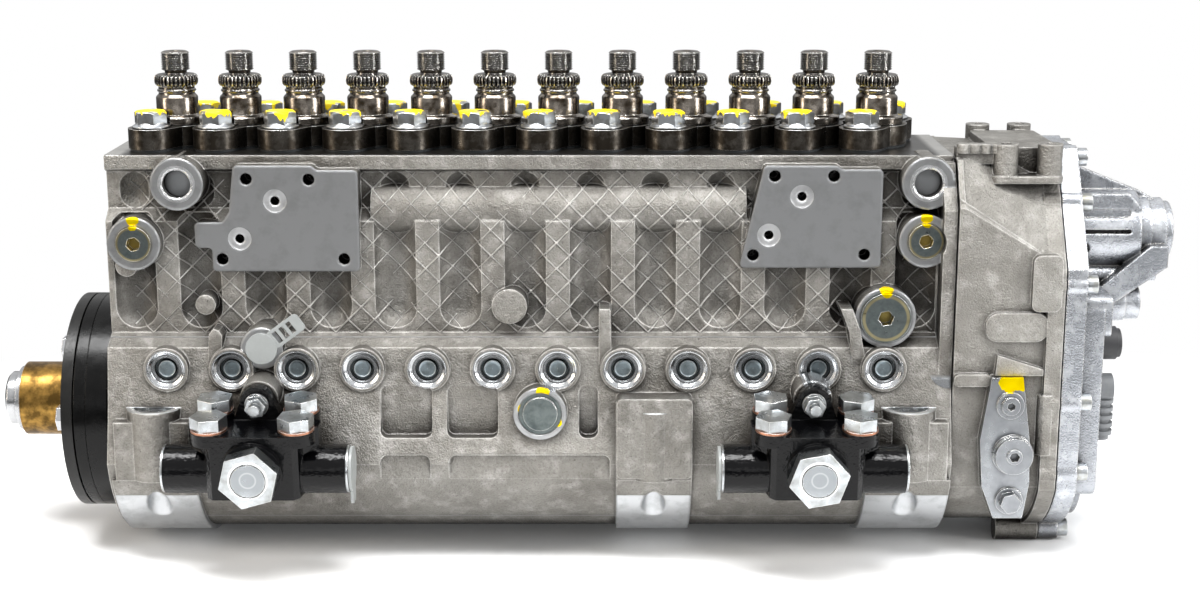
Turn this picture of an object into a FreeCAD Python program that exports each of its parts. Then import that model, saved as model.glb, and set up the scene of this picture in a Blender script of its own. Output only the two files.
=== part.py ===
# Twelve-cylinder in-line diesel injection pump.
# Frame: +X runs along the camshaft from the drive end to the governor end, +Z is up,
# -Y is the side with the feed pumps. The origin is on the camshaft axis, in the middle
# of the coupling sleeve.
import FreeCAD, Part
import math
import os
import types
import Sketcher
from FreeCAD import Rotation, Vector

SIZES = {
    # drive line along the camshaft axis
    "pitch": 35.5,
    "first_element": 77.5,
    "shaft_r": 17.5,
    "cam_base_r": 17.0,
    "cam_lift": 12.0,
    "cam_nose_r": 9.0,
    "cam_width": 14.0,
    "journal_r": 17.5,
    "nose_left": -26.5,
    "nose_r": 15.5,
    "nose_length": 10.0,
    "sleeve_length": 33.0,
    "sleeve_r": 21.0,
    "taper_r": 14.0,
    "plate_thick": 6.0,
    "damper_length": 20.0,
    "damper_r": 61.0,
    "damper_lip": 1.0,
    "hub_circle_r": 40.0,
    "hub_screw_r": 4.0,
    "bearing_r": 31.0,
    "bearing_width": 10.0,
    "bearing_cone_r": 21.5,
    "bearing_bore_r": 27.0,
    "end_plate_r": 54.0,
    "end_plate_thick": 12.0,
    "end_screw_circle": 47.0,
    "seal_r": 27.0,
    "seal_width": 5.0,
    # pump housing
    "housing_left": 45.0,
    "housing_length": 460.0,
    "deck_z": 147.5,
    "deck_half": 40.0,
    "lip_tall": 7.5,
    "wall_half": 36.0,
    "rib_half": 44.0,
    "rib_top": 112.0,
    "rib_foot": 50.0,
    "ledge_half": 55.0,
    "ledge_z": 44.0,
    "flank_half": 62.0,
    "flank_z": 10.0,
    "belly_r": 72.6,
    "belly_half": 70.4,
    "chamber_r": 42.0,
    "element_bore_r": 15.5,
    "bay_r": 12.0,
    "bay_out": 48.0,
    "gallery_r": 14.0,
    "gallery_z": 117.0,
    "gallery_left": 189.0,
    "gallery_right": 393.0,
    "pad_half": 47.5,
    "pad_corner_r": 5.0,
    # cradle feet
    "foot_r": 75.0,
    "foot_top": -27.0,
    "foot_1": 70.0,
    "foot_2": 343.0,
    "foot_3": 482.0,
    "foot_length": 46.0,
    "foot_mid_length": 41.0,
    "column_half": 60.0,
    "column_r": 14.7,
    "column_top": 12.0,
    "cradle_hole_r": 6.5,
    "counterbore_r": 11.0,
    "counterbore_deep": 4.0,
    # pumping elements
    "flange_end_x": 10.6,
    "flange_end_y": 20.0,
    "flange_end_r": 12.5,
    "flange_mid_r": 17.0,
    "shim_thick": 1.5,
    "flange_thick": 11.0,
    "bush_r": 15.2,
    "bush_bottom": 128.0,
    "barrel_r": 11.0,
    "barrel_bottom": 94.0,
    "plunger_r": 5.5,
    "running_gap": 0.3,
    "holder_r": 11.5,
    "holder_collar_r": 14.8,
    "holder_top": 200.0,
    "holder_thread_r": 7.75,
    "holder_neck_r": 6.0,
    "knurl_r": 11.9,
    "holder_shank_r": 8.5,
    "valve_bore_r": 4.2,
    "bolt_r": 5.0,
    "bolt_flats": 16.0,
    "bolt_head": 6.7,
    "washer_r": 10.2,
    "washer_thick": 2.5,
    # tappets, springs and control sleeves
    "roller_r": 11.0,
    "roller_width": 12.0,
    "roller_pin_r": 4.5,
    "tappet_r": 15.2,
    "tappet_top": 64.0,
    "tappet_length": 28.0,
    "seat_thick": 3.0,
    "spring_r": 10.5,
    "wire_r": 1.6,
    "sleeve_in_r": 11.3,
    "sleeve_out_r": 13.5,
    "control_sleeve_bottom": 90.6,
    "control_sleeve_top": 108.0,
    "rack_z": 95.0,
    "lever_reach": 21.0,
    "ball_r": 2.5,
    # control rack
    "rack_y": 22.0,
    "rack_width": 10.0,
    "rack_tall": 10.0,
    "notch_half": 2.9,
    "notch_end": 24.3,
    "channel_gap": 4.5,
    "rack_travel": 10.5,
    # feed pumps
    "feed_1": 130.0,
    "feed_2": 428.0,
    "feed_tilt": 5.0,
    "feed_axis_z": -2.0,
    "feed_mount": 72.0,
    "feed_nose": 105.0,
    "feed_step": 92.0,
    "feed_half_front": 24.5,
    "feed_half_back": 34.0,
    "feed_top": 17.5,
    "feed_bottom": -18.0,
    "feed_port_r": 13.2,
    "feed_port_half": 48.5,
    "feed_port_y": 87.5,
    "feed_seat_r": 19.0,
    "feed_port_z": -7.0,
    "feed_bore_r": 12.0,
    "feed_piston_r": 11.7,
    "feed_stroke": 6.0,
    # governor and actuator end
    "gasket_thick": 0.8,
    "governor_length": 58.0,
    "governor_half": 60.0,
    "governor_top": 146.0,
    "governor_top_half": 22.0,
    "governor_shoulder": 88.0,
    "shelf_z": 137.0,
    "roof_z": 154.0,
    "governor_r": 69.0,
    "governor_wall": 6.0,
    "cover_flange": 11.0,
    "solenoid_r": 20.0,
    "solenoid_out": 52.0,
    "solenoid_cap_r": 18.5,
    "solenoid_cap": 13.0,
    "armature_r": 11.0,
}

doc = FreeCAD.newDocument("injection_pump")
sheet = doc.addObject("Spreadsheet::Sheet", "sizes")


class Size:
    # A number that also knows the sheet expression it comes from.
    def __init__(self, value, text):
        self.value = float(value)
        self.text = text

    def __add__(self, other):
        other = as_size(other)
        return Size(self.value + other.value, f"({self.text} + {other.text})")

    def __sub__(self, other):
        other = as_size(other)
        return Size(self.value - other.value, f"({self.text} - {other.text})")

    def __mul__(self, other):
        other = as_size(other)
        return Size(self.value * other.value, f"({self.text} * {other.text})")

    def __truediv__(self, other):
        other = as_size(other)
        return Size(self.value / other.value, f"({self.text} / {other.text})")

    def __radd__(self, other):
        return as_size(other) + self

    def __rsub__(self, other):
        return as_size(other) - self

    def __rmul__(self, other):
        return as_size(other) * self

    def __neg__(self):
        return as_size(0) - self

    def __float__(self):
        return self.value


def as_size(number):
    if isinstance(number, Size):
        return number
    return Size(number, repr(round(float(number), 6)))


def fill_sheet():
    for row, (name, value) in enumerate(SIZES.items(), start=1):
        sheet.set(f"A{row}", name)
        sheet.set(f"B{row}", str(value))
        sheet.setAlias(f"B{row}", name)
    doc.recompute()
    return types.SimpleNamespace(**{name: Size(value, f"sizes.{name}") for name, value in SIZES.items()})


d = fill_sheet()
ELEMENTS = 12
HUB_SCREWS = 6
END_SCREWS = 6
FIRING_ORDER = (0, 8, 4, 10, 2, 6, 11, 3, 7, 1, 9, 5)
FEET = ((d.foot_1, d.foot_length), (d.foot_2, d.foot_mid_length), (d.foot_3, d.foot_length))

housing_right = d.housing_left + d.housing_length
sleeve_left = d.nose_left + d.nose_length
sleeve_right = sleeve_left + d.sleeve_length
plate_right = sleeve_right + 2 + d.plate_thick
damper_right = plate_right + d.damper_length
shim_top = d.deck_z + d.shim_thick
flange_top = shim_top + d.flange_thick
washer_top = flange_top + d.washer_thick
tappet_bottom = d.tappet_top - d.tappet_length
roller_z = d.cam_base_r + d.cam_lift + d.roller_r + d.running_gap
seat_top = d.tappet_top + d.seat_thick
upper_seat_top = d.control_sleeve_bottom - d.running_gap
governor_left = housing_right + d.gasket_thick
governor_right = governor_left + d.governor_length
cover_left = governor_right + d.gasket_thick
cover_right = cover_left + d.cover_flange
barrel_top = flange_top - 9.5
plunger_top = barrel_top - 4
hub_bore_r = d.shaft_r - 0.95
first_bearing = d.housing_left + 1 + d.seal_width + 0.5
last_bearing = housing_right - 11
solenoid_y = d.rack_y


# Drawing helpers

def bind(item, path, size):
    item.setExpression(path, as_size(size).text)


def new_body(label):
    body = doc.addObject("PartDesign::Body", label)
    body.Label = label
    return body


def origin_part(body, role):
    return next(item for item in body.Origin.OriginFeatures if item.Role == role)


def sketch_on(body, plane, name, offset=0):
    sketch = body.newObject("Sketcher::SketchObject", name)
    sketch.AttachmentSupport = [(origin_part(body, plane), "")]
    sketch.MapMode = "FlatFace"
    bind(sketch, "AttachmentOffset.Base.z", offset)
    return sketch


def pins(geo, end, x, y):
    # Constraints that hold one point at x, y from the sketch's origin.
    rows = []
    for kind, axis, size in (("DistanceX", -2, as_size(x)), ("DistanceY", -1, as_size(y))):
        if size.text == "0.0":
            rows.append((Sketcher.Constraint("PointOnObject", geo, end, axis), None))
        else:
            rows.append((Sketcher.Constraint(kind, -1, 1, geo, end, size.value), size.text))
    return rows


def constrain(sketch, rows):
    ids = sketch.addConstraint([row for row, _ in rows])
    for number, (_, text) in zip(ids, rows):
        if text:
            sketch.setExpression(f"Constraints[{number}]", text)


def circle(sketch, x, y, r):
    x, y, r = as_size(x), as_size(y), as_size(r)
    geo = sketch.addGeometry(Part.Circle(Vector(x.value, y.value, 0), Vector(0, 0, 1), r.value), False)
    constrain(sketch, [(Sketcher.Constraint("Radius", geo, r.value), r.text)] + pins(geo, 3, x, y))


def arc_edge(start, end, r, turn):
    # An arc from start to end; turn is 1 for anticlockwise and -1 for clockwise.
    chord = end - start
    half = chord.Length / 2
    rise = math.sqrt(max(r * r - half * half, 0))
    side = Vector(-chord.y, chord.x, 0).normalize() * rise * turn
    centre = (start + end) / 2 + side
    first, last = (start, end) if turn > 0 else (end, start)
    angles = [math.atan2(p.y - centre.y, p.x - centre.x) for p in (first, last)]
    return Part.ArcOfCircle(Part.Circle(centre, Vector(0, 0, 1), r), *angles)


def outline(sketch, points):
    # A closed outline through (x, y), (x, y, radius, turn) or (x, y, "half", turn):
    # a third value makes the edge that arrives at the point an arc.
    places = [(as_size(p[0]), as_size(p[1])) for p in points]
    vectors = [Vector(x.value, y.value, 0) for x, y in places]
    edges, ends, rows = [], [], []
    for i, point in enumerate(points):
        start, end = vectors[i - 1], vectors[i]
        if len(point) == 2:
            edges.append(Part.LineSegment(start, end))
            ends.append((1, 2))
        else:
            half = point[2] == "half"
            r = (end - start).Length / 2 if half else float(point[2])
            edges.append(arc_edge(start, end, r, point[3]))
            ends.append((1, 2) if point[3] > 0 else (2, 1))
    first = sketch.addGeometry(edges, False)[0]
    for i, point in enumerate(points):
        geo = first + i
        after = first + (i + 1) % len(points)
        rows.append((Sketcher.Constraint("Coincident", geo, ends[i][1], after, ends[(i + 1) % len(points)][0]), None))
        rows += pins(geo, ends[i][1], *places[i])
        if len(point) > 2 and point[2] == "half":
            upright = abs(vectors[i].y - vectors[i - 1].y) > abs(vectors[i].x - vectors[i - 1].x)
            axis = 0 if upright else 1
            middle = (places[i][axis] + places[i - 1][axis]) / 2
            rows.append(pins(geo, 3, middle, middle)[axis])
        elif len(point) > 2:
            r = as_size(point[2])
            rows.append((Sketcher.Constraint("Radius", geo, r.value), r.text))
    constrain(sketch, rows)


def box_outline(sketch, x0, y0, x1, y1):
    outline(sketch, [(x0, y0), (x1, y0), (x1, y1), (x0, y1)])


def rounded_box(sketch, x0, y0, x1, y1, r):
    outline(sketch, [
        (x1 - r, y0), (x1, y0 + r, r, 1), (x1, y1 - r), (x1 - r, y1, r, 1),
        (x0 + r, y1), (x0, y1 - r, r, 1), (x0, y0 + r), (x0 + r, y0, r, 1),
    ])


def hexagon(sketch, x, y, flats, turned=0):
    corner = as_size(flats) / math.sqrt(3)
    angles = [math.radians(turned + 60 * k) for k in range(6)]
    outline(sketch, [(x + corner * math.cos(a), y + corner * math.sin(a)) for a in angles])


def root(size):
    return Size(math.sqrt(size.value), f"sqrt({size.text})")


def turn_sketch(sketch, axis, degrees):
    # Turns a sketch in its own plane (axis Z) or tilts it about its own X axis.
    sketch.AttachmentOffset = FreeCAD.Placement(sketch.AttachmentOffset.Base, Rotation(axis, 0))
    bind(sketch, "AttachmentOffset.Rotation.Angle", degrees)


def shift_sketch(sketch, x=0, y=0):
    bind(sketch, "AttachmentOffset.Base.x", x)
    bind(sketch, "AttachmentOffset.Base.y", y)


def pad(body, sketch, length, back=False):
    # Adds material along the sketch's normal, or against it.
    feature = body.newObject("PartDesign::Pad", sketch.Name + "_pad")
    feature.Profile = sketch
    feature.Reversed = back
    feature.Refine = False
    bind(feature, "Length", length)
    return feature


def cut(body, sketch, length, back=False):
    # Removes material along the sketch's normal, or against it.
    feature = body.newObject("PartDesign::Pocket", sketch.Name + "_cut")
    feature.Profile = sketch
    feature.Reversed = not back
    feature.Refine = False
    bind(feature, "Length", length)
    return feature


def revolve(body, sketch, axis="H_Axis", kind="Revolution"):
    feature = body.newObject(f"PartDesign::{kind}", f"{sketch.Name}_{kind.lower()}")
    feature.Profile = sketch
    feature.ReferenceAxis = (sketch, [axis])
    feature.Angle = 360
    feature.Refine = False
    return feature


def row(body, features, count=ELEMENTS, step=d.pitch):
    # Repeats features along the camshaft at the element pitch.
    feature = body.newObject("PartDesign::LinearPattern", f"{features[0].Name}_row")
    feature.Originals = features
    feature.Direction = (origin_part(body, "X_Axis"), [""])
    feature.Mode = "Spacing"
    feature.Occurrences = count
    feature.Refine = False
    bind(feature, "Offset", step)
    body.Tip = feature
    return feature


def ring(body, features, count, axis="X_Axis"):
    feature = body.newObject("PartDesign::PolarPattern", f"{features[0].Name}_ring")
    feature.Originals = features
    feature.Axis = (origin_part(body, axis), [""])
    feature.Angle = 360
    feature.Occurrences = count
    feature.Refine = False
    body.Tip = feature
    return feature


def place(body, x=0, y=0, z=0):
    for axis, size in (("x", x), ("y", y), ("z", z)):
        bind(body, f"Placement.Base.{axis}", size)


def disc(body, plane, name, offset, x, y, r, length, back=False):
    sketch = sketch_on(body, plane, name, offset)
    circle(sketch, x, y, r)
    return pad(body, sketch, length, back)


def hole(body, plane, name, offset, x, y, r, length, back=False):
    sketch = sketch_on(body, plane, name, offset)
    circle(sketch, x, y, r)
    return cut(body, sketch, length, back)


def tube(body, plane, name, offset, x, y, outer, inner, length, back=False):
    sketch = sketch_on(body, plane, name, offset)
    circle(sketch, x, y, outer)
    circle(sketch, x, y, inner)
    return pad(body, sketch, length, back)


def turned(body, name, points, axis="V_Axis", x=0, y=0, plane="XZ_Plane", depth=0):
    # A piece turned on a lathe: points are (radius, height) from the axis.
    sketch = sketch_on(body, plane, name, depth)
    shift_sketch(sketch, x, y)
    outline(sketch, points)
    return revolve(body, sketch, axis)


def fused(name, items):
    whole = doc.addObject("Part::MultiFuse", name)
    whole.Shapes = items
    return whole


def cut_from(name, base, tool):
    rest = doc.addObject("Part::Cut", name)
    rest.Label = name
    rest.Base = base
    rest.Tool = tool
    return rest


# Pump housing

def section_points():
    side = [
        (d.deck_half, d.deck_z - d.lip_tall), (d.wall_half, d.deck_z - d.lip_tall - 2),
        (d.wall_half, d.rib_top + 6), (d.rib_half, d.rib_top),
        (d.rib_half, d.rib_foot), (d.ledge_half, d.ledge_z), (d.flank_half, d.flank_z),
        (d.belly_half, -root(d.belly_r * d.belly_r - d.belly_half * d.belly_half)),
    ]
    right = [(d.deck_half, d.deck_z)] + side
    left = [(-y, z) for y, z in reversed(right)]
    left[0] = left[0] + (d.belly_r, -1)
    return right + left


def housing_shell(body):
    sketch = sketch_on(body, "YZ_Plane", "section", d.housing_left)
    outline(sketch, section_points())
    pad(body, sketch, d.housing_length)


def housing_bays(body):
    # Rounded bays between the ribs, and smaller hollows under the deck, on both sides.
    start = d.first_element - d.pitch / 2
    for side, sign in (("front", 1), ("back", -1)):
        low, high = d.rib_foot + d.bay_r + 2, d.rib_top + 4
        sketch = sketch_on(body, "XZ_Plane", f"bay_{side}", sign * d.bay_out)
        shift_sketch(sketch, start)
        outline(sketch, [(0, low - d.bay_r), (d.bay_r, low, d.bay_r, 1), (d.bay_r, high), (0, high)])
        bay = revolve(body, sketch, "V_Axis", "Groove")
        r = d.bay_r - 2
        low, high = d.rib_top + 14, d.deck_z - d.lip_tall - r
        sketch = sketch_on(body, "XZ_Plane", f"hollow_{side}", sign * (d.wall_half + r - 4))
        shift_sketch(sketch, start)
        outline(sketch, [(0, low - r), (r, low, r, 1), (r, high), (0, high + r, r, 1)])
        hollow = revolve(body, sketch, "V_Axis", "Groove")
        row(body, [bay, hollow], ELEMENTS + 1)


def housing_gallery(body):
    length = d.gallery_right - d.gallery_left
    for side, sign in (("front", -1), ("back", 1)):
        disc(body, "YZ_Plane", f"gallery_{side}", d.gallery_left,
             sign * (d.rib_half - d.gallery_r), d.gallery_z, d.gallery_r, length)


def pad_outline(sketch, points, r):
    # A machined pad with its corners rounded: each corner is cut back along both edges.
    count = len(points)
    flat = [(as_size(x), as_size(y)) for x, y in points]
    rounded = []
    for i, (x, y) in enumerate(flat):
        before, after = flat[i - 1], flat[(i + 1) % count]
        a = Vector(before[0].value - x.value, before[1].value - y.value, 0).normalize()
        b = Vector(after[0].value - x.value, after[1].value - y.value, 0).normalize()
        half = a.getAngle(b) / 2
        back = r / math.tan(half)
        turn = 1 if a.cross(b).z < 0 else -1
        rounded.append((x + a.x * back, y + a.y * back))
        rounded.append((x + b.x * back, y + b.y * back, r, turn))
    outline(sketch, rounded)


PADS = {
    "left": [(113.0, 118.0), (109.0, 112.0), (94.0, 112.0), (94.0, 98.0), (103.0, 98.0),
             (103.0, 85.0), (183.0, 85.0), (183.0, 140.5), (161.0, 140.5), (158.0, 143.0), (116.0, 143.0)],
    "right": [(402.0, 143.0), (389.0, 87.0), (466.0, 87.0), (466.0, 141.0), (444.0, 141.0),
              (441.0, 143.0)],
}
PAD_HOLES = {
    "left": [(122.8, 135.8), (156.5, 135.5), (108.4, 91.8), (174.5, 91.8)],
    "right": [(407.7, 137.4), (439.5, 137.4), (396.6, 94.0), (457.0, 94.3)],
}
PAD_PORTS = {"left": [(138.0, 123.8), (118.2, 103.0)], "right": [(422.5, 126.2), (405.0, 105.0)]}


def housing_pads(body):
    sketch = sketch_on(body, "XZ_Plane", "pads", d.pad_half)
    for points in PADS.values():
        pad_outline(sketch, points, d.pad_corner_r / 2)
    pad(body, sketch, d.pad_half - d.wall_half + 6, back=True)


def pad_holes(body):
    for side in PADS:
        for places, r, deep, kind in ((PAD_HOLES, 3.2, 14, "bolt"), (PAD_PORTS, 2.5, 12, "port")):
            for i, (x, z) in enumerate(places[side]):
                disc(body, "XZ_Plane", f"pad_{side}_{kind}_{i}", d.pad_half, x, z, r, deep, back=True)
        for i, (x, z) in enumerate(PAD_PORTS[side]):
            disc(body, "XZ_Plane", f"pad_{side}_ring_{i}", d.pad_half, x, z, 6.4, 0.3, back=True)


# x, z, boss radius, face from the axis, bore radius, bore depth
BOSSES = {
    "gallery_left": (86.0, 133.5, 14.3, 51.0, 7.6, 9.0),
    "gallery_right": (490.0, 134.0, 14.3, 51.0, 7.6, 9.0),
    "socket_left": (61.5, 101.0, 14.5, 52.0, 9.6, 8.0),
    "socket_right": (489.5, 102.5, 14.5, 52.0, 9.6, 8.0),
    "large": (468.6, 61.0, 16.5, 56.0, 13.8, 9.0),
    "round": (281.0, 10.5, 14.5, 69.0, 11.8, 8.0),
    "strap": (130.0, 45.0, 11.5, 60.0, 6.6, 8.0),
}


def housing_bosses(body):
    for name, (x, z, r, face, bore_r, deep) in BOSSES.items():
        disc(body, "XZ_Plane", f"boss_{name}", face, x, z, r, face - 25, back=True)
    disc(body, "XZ_Plane", "cast_disc", 49, 264.0, 65.6, 9.7, 15, back=True)
    disc(body, "XZ_Plane", "cast_knob", 50, 98.5, 66.8, 5.5, 15, back=True)
    disc(body, "XZ_Plane", "boss_lobe", 50, 56.5, 88.5, 6.0, 20, back=True)


def boss_bores(body):
    for name, (x, z, r, face, bore_r, deep) in BOSSES.items():
        disc(body, "XZ_Plane", f"bore_{name}", face, x, z, bore_r, deep, back=True)


FEED_TIP = 38.0
STUD_Z = 26.5
PORT_Z = 33.0
PORT_FACE = 61.0


ARM_FACE = 57.0
ARMS = {
    "left": [(80.6, 14.0), (94.0, 24.0), (99.6, 33.6), (101.0, 52.0), (103.3, 55.0), (106.5, 54.0),
             (108.2, 51.0), (107.4, 37.6), (103.0, 24.0), (90.0, 12.0)],
    "middle": [(313.0, 66.0), (319.0, 66.0), (320.0, 26.0), (331.0, 16.0), (331.0, 8.0), (322.0, 8.0),
               (322.0, 16.0), (313.0, 25.0)],
    "right": [(444.0, 66.0), (449.0, 53.0), (451.0, 34.0), (465.7, 16.0), (475.0, 14.0), (458.5, 35.0),
              (455.0, 54.0), (450.5, 66.0)],
}


def housing_arms(body):
    # Cast arms that tie the cradle columns and pump seats to the upper wall.
    sketch = sketch_on(body, "XZ_Plane", "arms", ARM_FACE)
    for points in ARMS.values():
        outline(sketch, points)
    pad(body, sketch, 20, back=True)
    sketch = sketch_on(body, "XZ_Plane", "middle_block", d.column_half + d.column_r - 1)
    half = d.foot_mid_length / 2
    rounded_box(sketch, d.foot_2 - half, as_size(-25), d.foot_2 + half, as_size(20), as_size(3))
    pad(body, sketch, 20, back=True)


# x from, z from, x to, z to, floor from the axis
POCKETS = (
    (193.8, -4.0, 222.0, 24.0, 59.0), (230.2, -4.0, 258.0, 24.0, 59.0), (302.0, -4.0, 312.4, 24.0, 59.0),
    (193.8, -36.0, 221.0, -13.0, 67.5), (231.3, -36.0, 319.0, -13.0, 67.5),
)


def lower_pockets(body):
    # Shallow pockets between the ports and the cradle line.
    for k, (x0, z0, x1, z1, floor) in enumerate(POCKETS):
        sketch = sketch_on(body, "XZ_Plane", f"pocket_{k}", floor + 20)
        rounded_box(sketch, as_size(x0), as_size(z0), as_size(x1), as_size(z1), as_size(4))
        pad(body, sketch, 20, back=True)


def housing_ports(body):
    # One port below each element, where the tappet is held while the camshaft comes out.
    boss = disc(body, "XZ_Plane", "port_boss", PORT_FACE, d.first_element, PORT_Z, 12.2, 14, back=True)
    row(body, [boss])


def port_bores(body):
    wide = disc(body, "XZ_Plane", "port_wide", PORT_FACE, d.first_element, PORT_Z, 10.4, 1.5, back=True)
    deep = disc(body, "XZ_Plane", "port_deep", PORT_FACE, d.first_element, PORT_Z, 6.6, 9, back=True)
    row(body, [wide, deep])


def housing_feet(body):
    for i, (x, length) in enumerate(FEET):
        reach = root(d.foot_r * d.foot_r - d.foot_top * d.foot_top)
        sketch = sketch_on(body, "YZ_Plane", f"foot_{i}", x - length / 2)
        outline(sketch, [(reach, d.foot_top), (-reach, d.foot_top, d.foot_r, -1)])
        pad(body, sketch, length)
        for side, sign in (("front", -1), ("back", 1)):
            y = sign * d.column_half
            disc(body, "XY_Plane", f"column_{side}_{i}", d.foot_top - 20, x, y, d.column_r, d.column_top - d.foot_top + 20)
            sketch = sketch_on(body, "XY_Plane", f"web_{side}_{i}", d.foot_top - 8)
            edge = sign * (d.column_half + d.column_r - 4)
            box_outline(sketch, x - d.foot_mid_length / 2, sign * d.chamber_r, x + d.foot_mid_length / 2, edge)
            pad(body, sketch, d.column_top - d.foot_top + 2)


def cradle_holes(body):
    for i, (x, _) in enumerate(FEET):
        for side, sign in (("front", -1), ("back", 1)):
            y = sign * d.column_half
            disc(body, "XY_Plane", f"cradle_hole_{side}_{i}", d.column_top, x, y, d.cradle_hole_r, 110, back=True)
            disc(body, "XY_Plane", f"cradle_seat_{side}_{i}", d.column_top, x, y, d.counterbore_r,
                 d.counterbore_deep, back=True)


def trim_feet(body):
    # The cradle cuts everything below the foot line back to one cylinder.
    sketch = sketch_on(body, "YZ_Plane", "cradle_round", d.housing_left - 1)
    wide = d.foot_r + 25
    reach = root(d.foot_r * d.foot_r - d.foot_top * d.foot_top)
    outline(sketch, [
        (reach, d.foot_top, d.foot_r, 1), (wide, d.foot_top), (wide, -wide), (-wide, -wide),
        (-wide, d.foot_top), (-reach, d.foot_top),
    ])
    pad(body, sketch, d.housing_length + 2)


def housing_bores(body):
    x = d.housing_left - 1
    disc(body, "YZ_Plane", "cam_chamber", d.housing_left + 28, 0, 0, d.chamber_r, d.housing_length - 56)
    disc(body, "YZ_Plane", "drive_bore", x, 0, 0, d.bearing_r, 30)
    disc(body, "YZ_Plane", "plate_seat", x, 0, 0, d.end_plate_r, d.end_plate_thick + 1)
    screw = disc(body, "YZ_Plane", "end_screw_tap", x, d.end_screw_circle, 0, 3.05, 28)
    ring(body, [screw], END_SCREWS)
    right_x, right_z = BOSSES["socket_right"][:2]
    disc(body, "XZ_Plane", "socket_clearance", 62, right_x, right_z, 10.2, 10, back=True)
    disc(body, "YZ_Plane", "far_bore", housing_right - 29, 0, 0, d.bearing_r, 30)
    bore = disc(body, "XY_Plane", "element_bore", d.deck_z, d.first_element, 0, d.element_bore_r,
                d.deck_z - 20, back=True)
    bolts = []
    for side, sign in (("front", -1), ("back", 1)):
        bolts.append(disc(body, "XY_Plane", f"deck_tap_{side}", d.deck_z,
                          d.first_element + sign * d.flange_end_x, sign * d.flange_end_y,
                          d.bolt_r + 0.1, 28, back=True))
    row(body, [bore] + bolts)
    sketch = sketch_on(body, "YZ_Plane", "rack_channel", d.housing_left + 6)
    gap = d.channel_gap
    box_outline(sketch, d.rack_y - d.rack_width / 2 - gap, d.rack_z - d.rack_tall / 2 - gap,
                d.rack_y + d.rack_width / 2 + gap, d.rack_z + d.rack_tall / 2 + gap)
    pad(body, sketch, d.housing_length)


def feed_disc(body, name, x, z, r, top, length):
    # A cylinder along the tilted feed pump axis, from its top towards the camshaft.
    sketch = sketch_on(body, "XZ_Plane", name, 0)
    turn_sketch(sketch, Vector(1, 0, 0), d.feed_tilt)
    tilt = math.radians(d.feed_tilt.value)
    bind(sketch, "AttachmentOffset.Base.z", top * math.cos(tilt))
    bind(sketch, "AttachmentOffset.Base.y", -(top * math.sin(tilt)))
    circle(sketch, x, z, r)
    pad(body, sketch, length, back=True)


def port_clearance(body, i, x):
    # Room in the housing's feet for the round ports at both ends of a feed pump.
    tilt = math.radians(d.feed_tilt.value)
    y = -(d.feed_port_y * math.cos(tilt)) - d.feed_port_z * math.sin(tilt)
    z = d.feed_port_z * math.cos(tilt) - d.feed_port_y * math.sin(tilt)
    for side in (-1, 1):
        disc(body, "YZ_Plane", f"port_room_{i}_{side + 1}", x + side * d.feed_port_half - 5, y, z,
             d.feed_port_r + 0.5, 10)


def pump_housing():
    shell = new_body("housing_shell")
    housing_shell(shell)
    housing_bays(shell)
    raised = new_body("housing_raised")
    housing_gallery(raised)
    housing_pads(raised)
    housing_bosses(raised)
    housing_arms(raised)
    housing_ports(raised)
    feet = new_body("housing_feet")
    housing_feet(feet)
    tools = new_body("housing_tools")
    pad_holes(tools)
    boss_bores(tools)
    port_bores(tools)
    lower_pockets(tools)
    cradle_holes(tools)
    trim_feet(tools)
    housing_bores(tools)
    for i, x in enumerate((d.feed_1, d.feed_2)):
        feed_disc(feet, f"feed_seat_{i}", x, d.feed_axis_z, d.feed_seat_r, d.feed_mount, 30)
        feed_disc(feet, f"feed_ear_{i}", x, STUD_Z, 10.5, d.feed_mount, 30)
        feed_disc(tools, f"feed_bore_{i}", x, d.feed_axis_z, d.feed_bore_r, d.feed_mount + 1, 50)
        feed_disc(tools, f"feed_stud_{i}", x, STUD_Z, 3.05, d.feed_mount + 1, 14)
        port_clearance(tools, i, x)
    sketch = sketch_on(feet, "YZ_Plane", "governor_flange", housing_right - 7)
    governor_section(sketch, 2)
    pad(feet, sketch, 7)
    cast = fused("housing_cast", [shell, raised, feet])
    return cut_from("pump_housing", cast, tools)


# Elements on the deck

def flange_outline(sketch, grow=0):
    # A slot through both bolts.
    r = d.flange_end_r + grow
    reach = root(d.flange_end_x * d.flange_end_x + d.flange_end_y * d.flange_end_y)
    nx = r * d.flange_end_y / reach
    ny = r * d.flange_end_x / reach
    x, y = d.flange_end_x, d.flange_end_y
    outline(sketch, [
        (x + nx, y - ny), (x - nx, y + ny, "half", 1), (-x - nx, -y + ny), (-x + nx, -y - ny, "half", 1),
    ])


def bolt_circles(sketch, r):
    for sign in (-1, 1):
        circle(sketch, sign * d.flange_end_x, sign * d.flange_end_y, r)


def bolt_hole_tools(body, low, length):
    sketch = sketch_on(body, "XY_Plane", "bolt_holes", low)
    bolt_circles(sketch, d.bolt_r + d.running_gap)
    cut(body, sketch, length)


def element_bush():
    body = new_body("element_bush")
    sketch = sketch_on(body, "XY_Plane", "flange", shim_top)
    flange_outline(sketch)
    parts = [pad(body, sketch, d.flange_thick)]
    parts.append(disc(body, "XY_Plane", "middle", shim_top, 0, 0, d.flange_mid_r, d.flange_thick))
    parts.append(disc(body, "XY_Plane", "bush", d.bush_bottom, 0, 0, d.bush_r, shim_top - d.bush_bottom))
    bolt_hole_tools(body, shim_top - 1, d.flange_thick + 2)
    top = barrel_top + d.running_gap
    hole(body, "XY_Plane", "barrel_bore", d.bush_bottom - 1, 0, 0, d.barrel_r + d.running_gap,
         top - d.bush_bottom + 1)
    hole(body, "XY_Plane", "holder_bore", top - 1, 0, 0, d.holder_shank_r + d.running_gap, 20)
    return body


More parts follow.
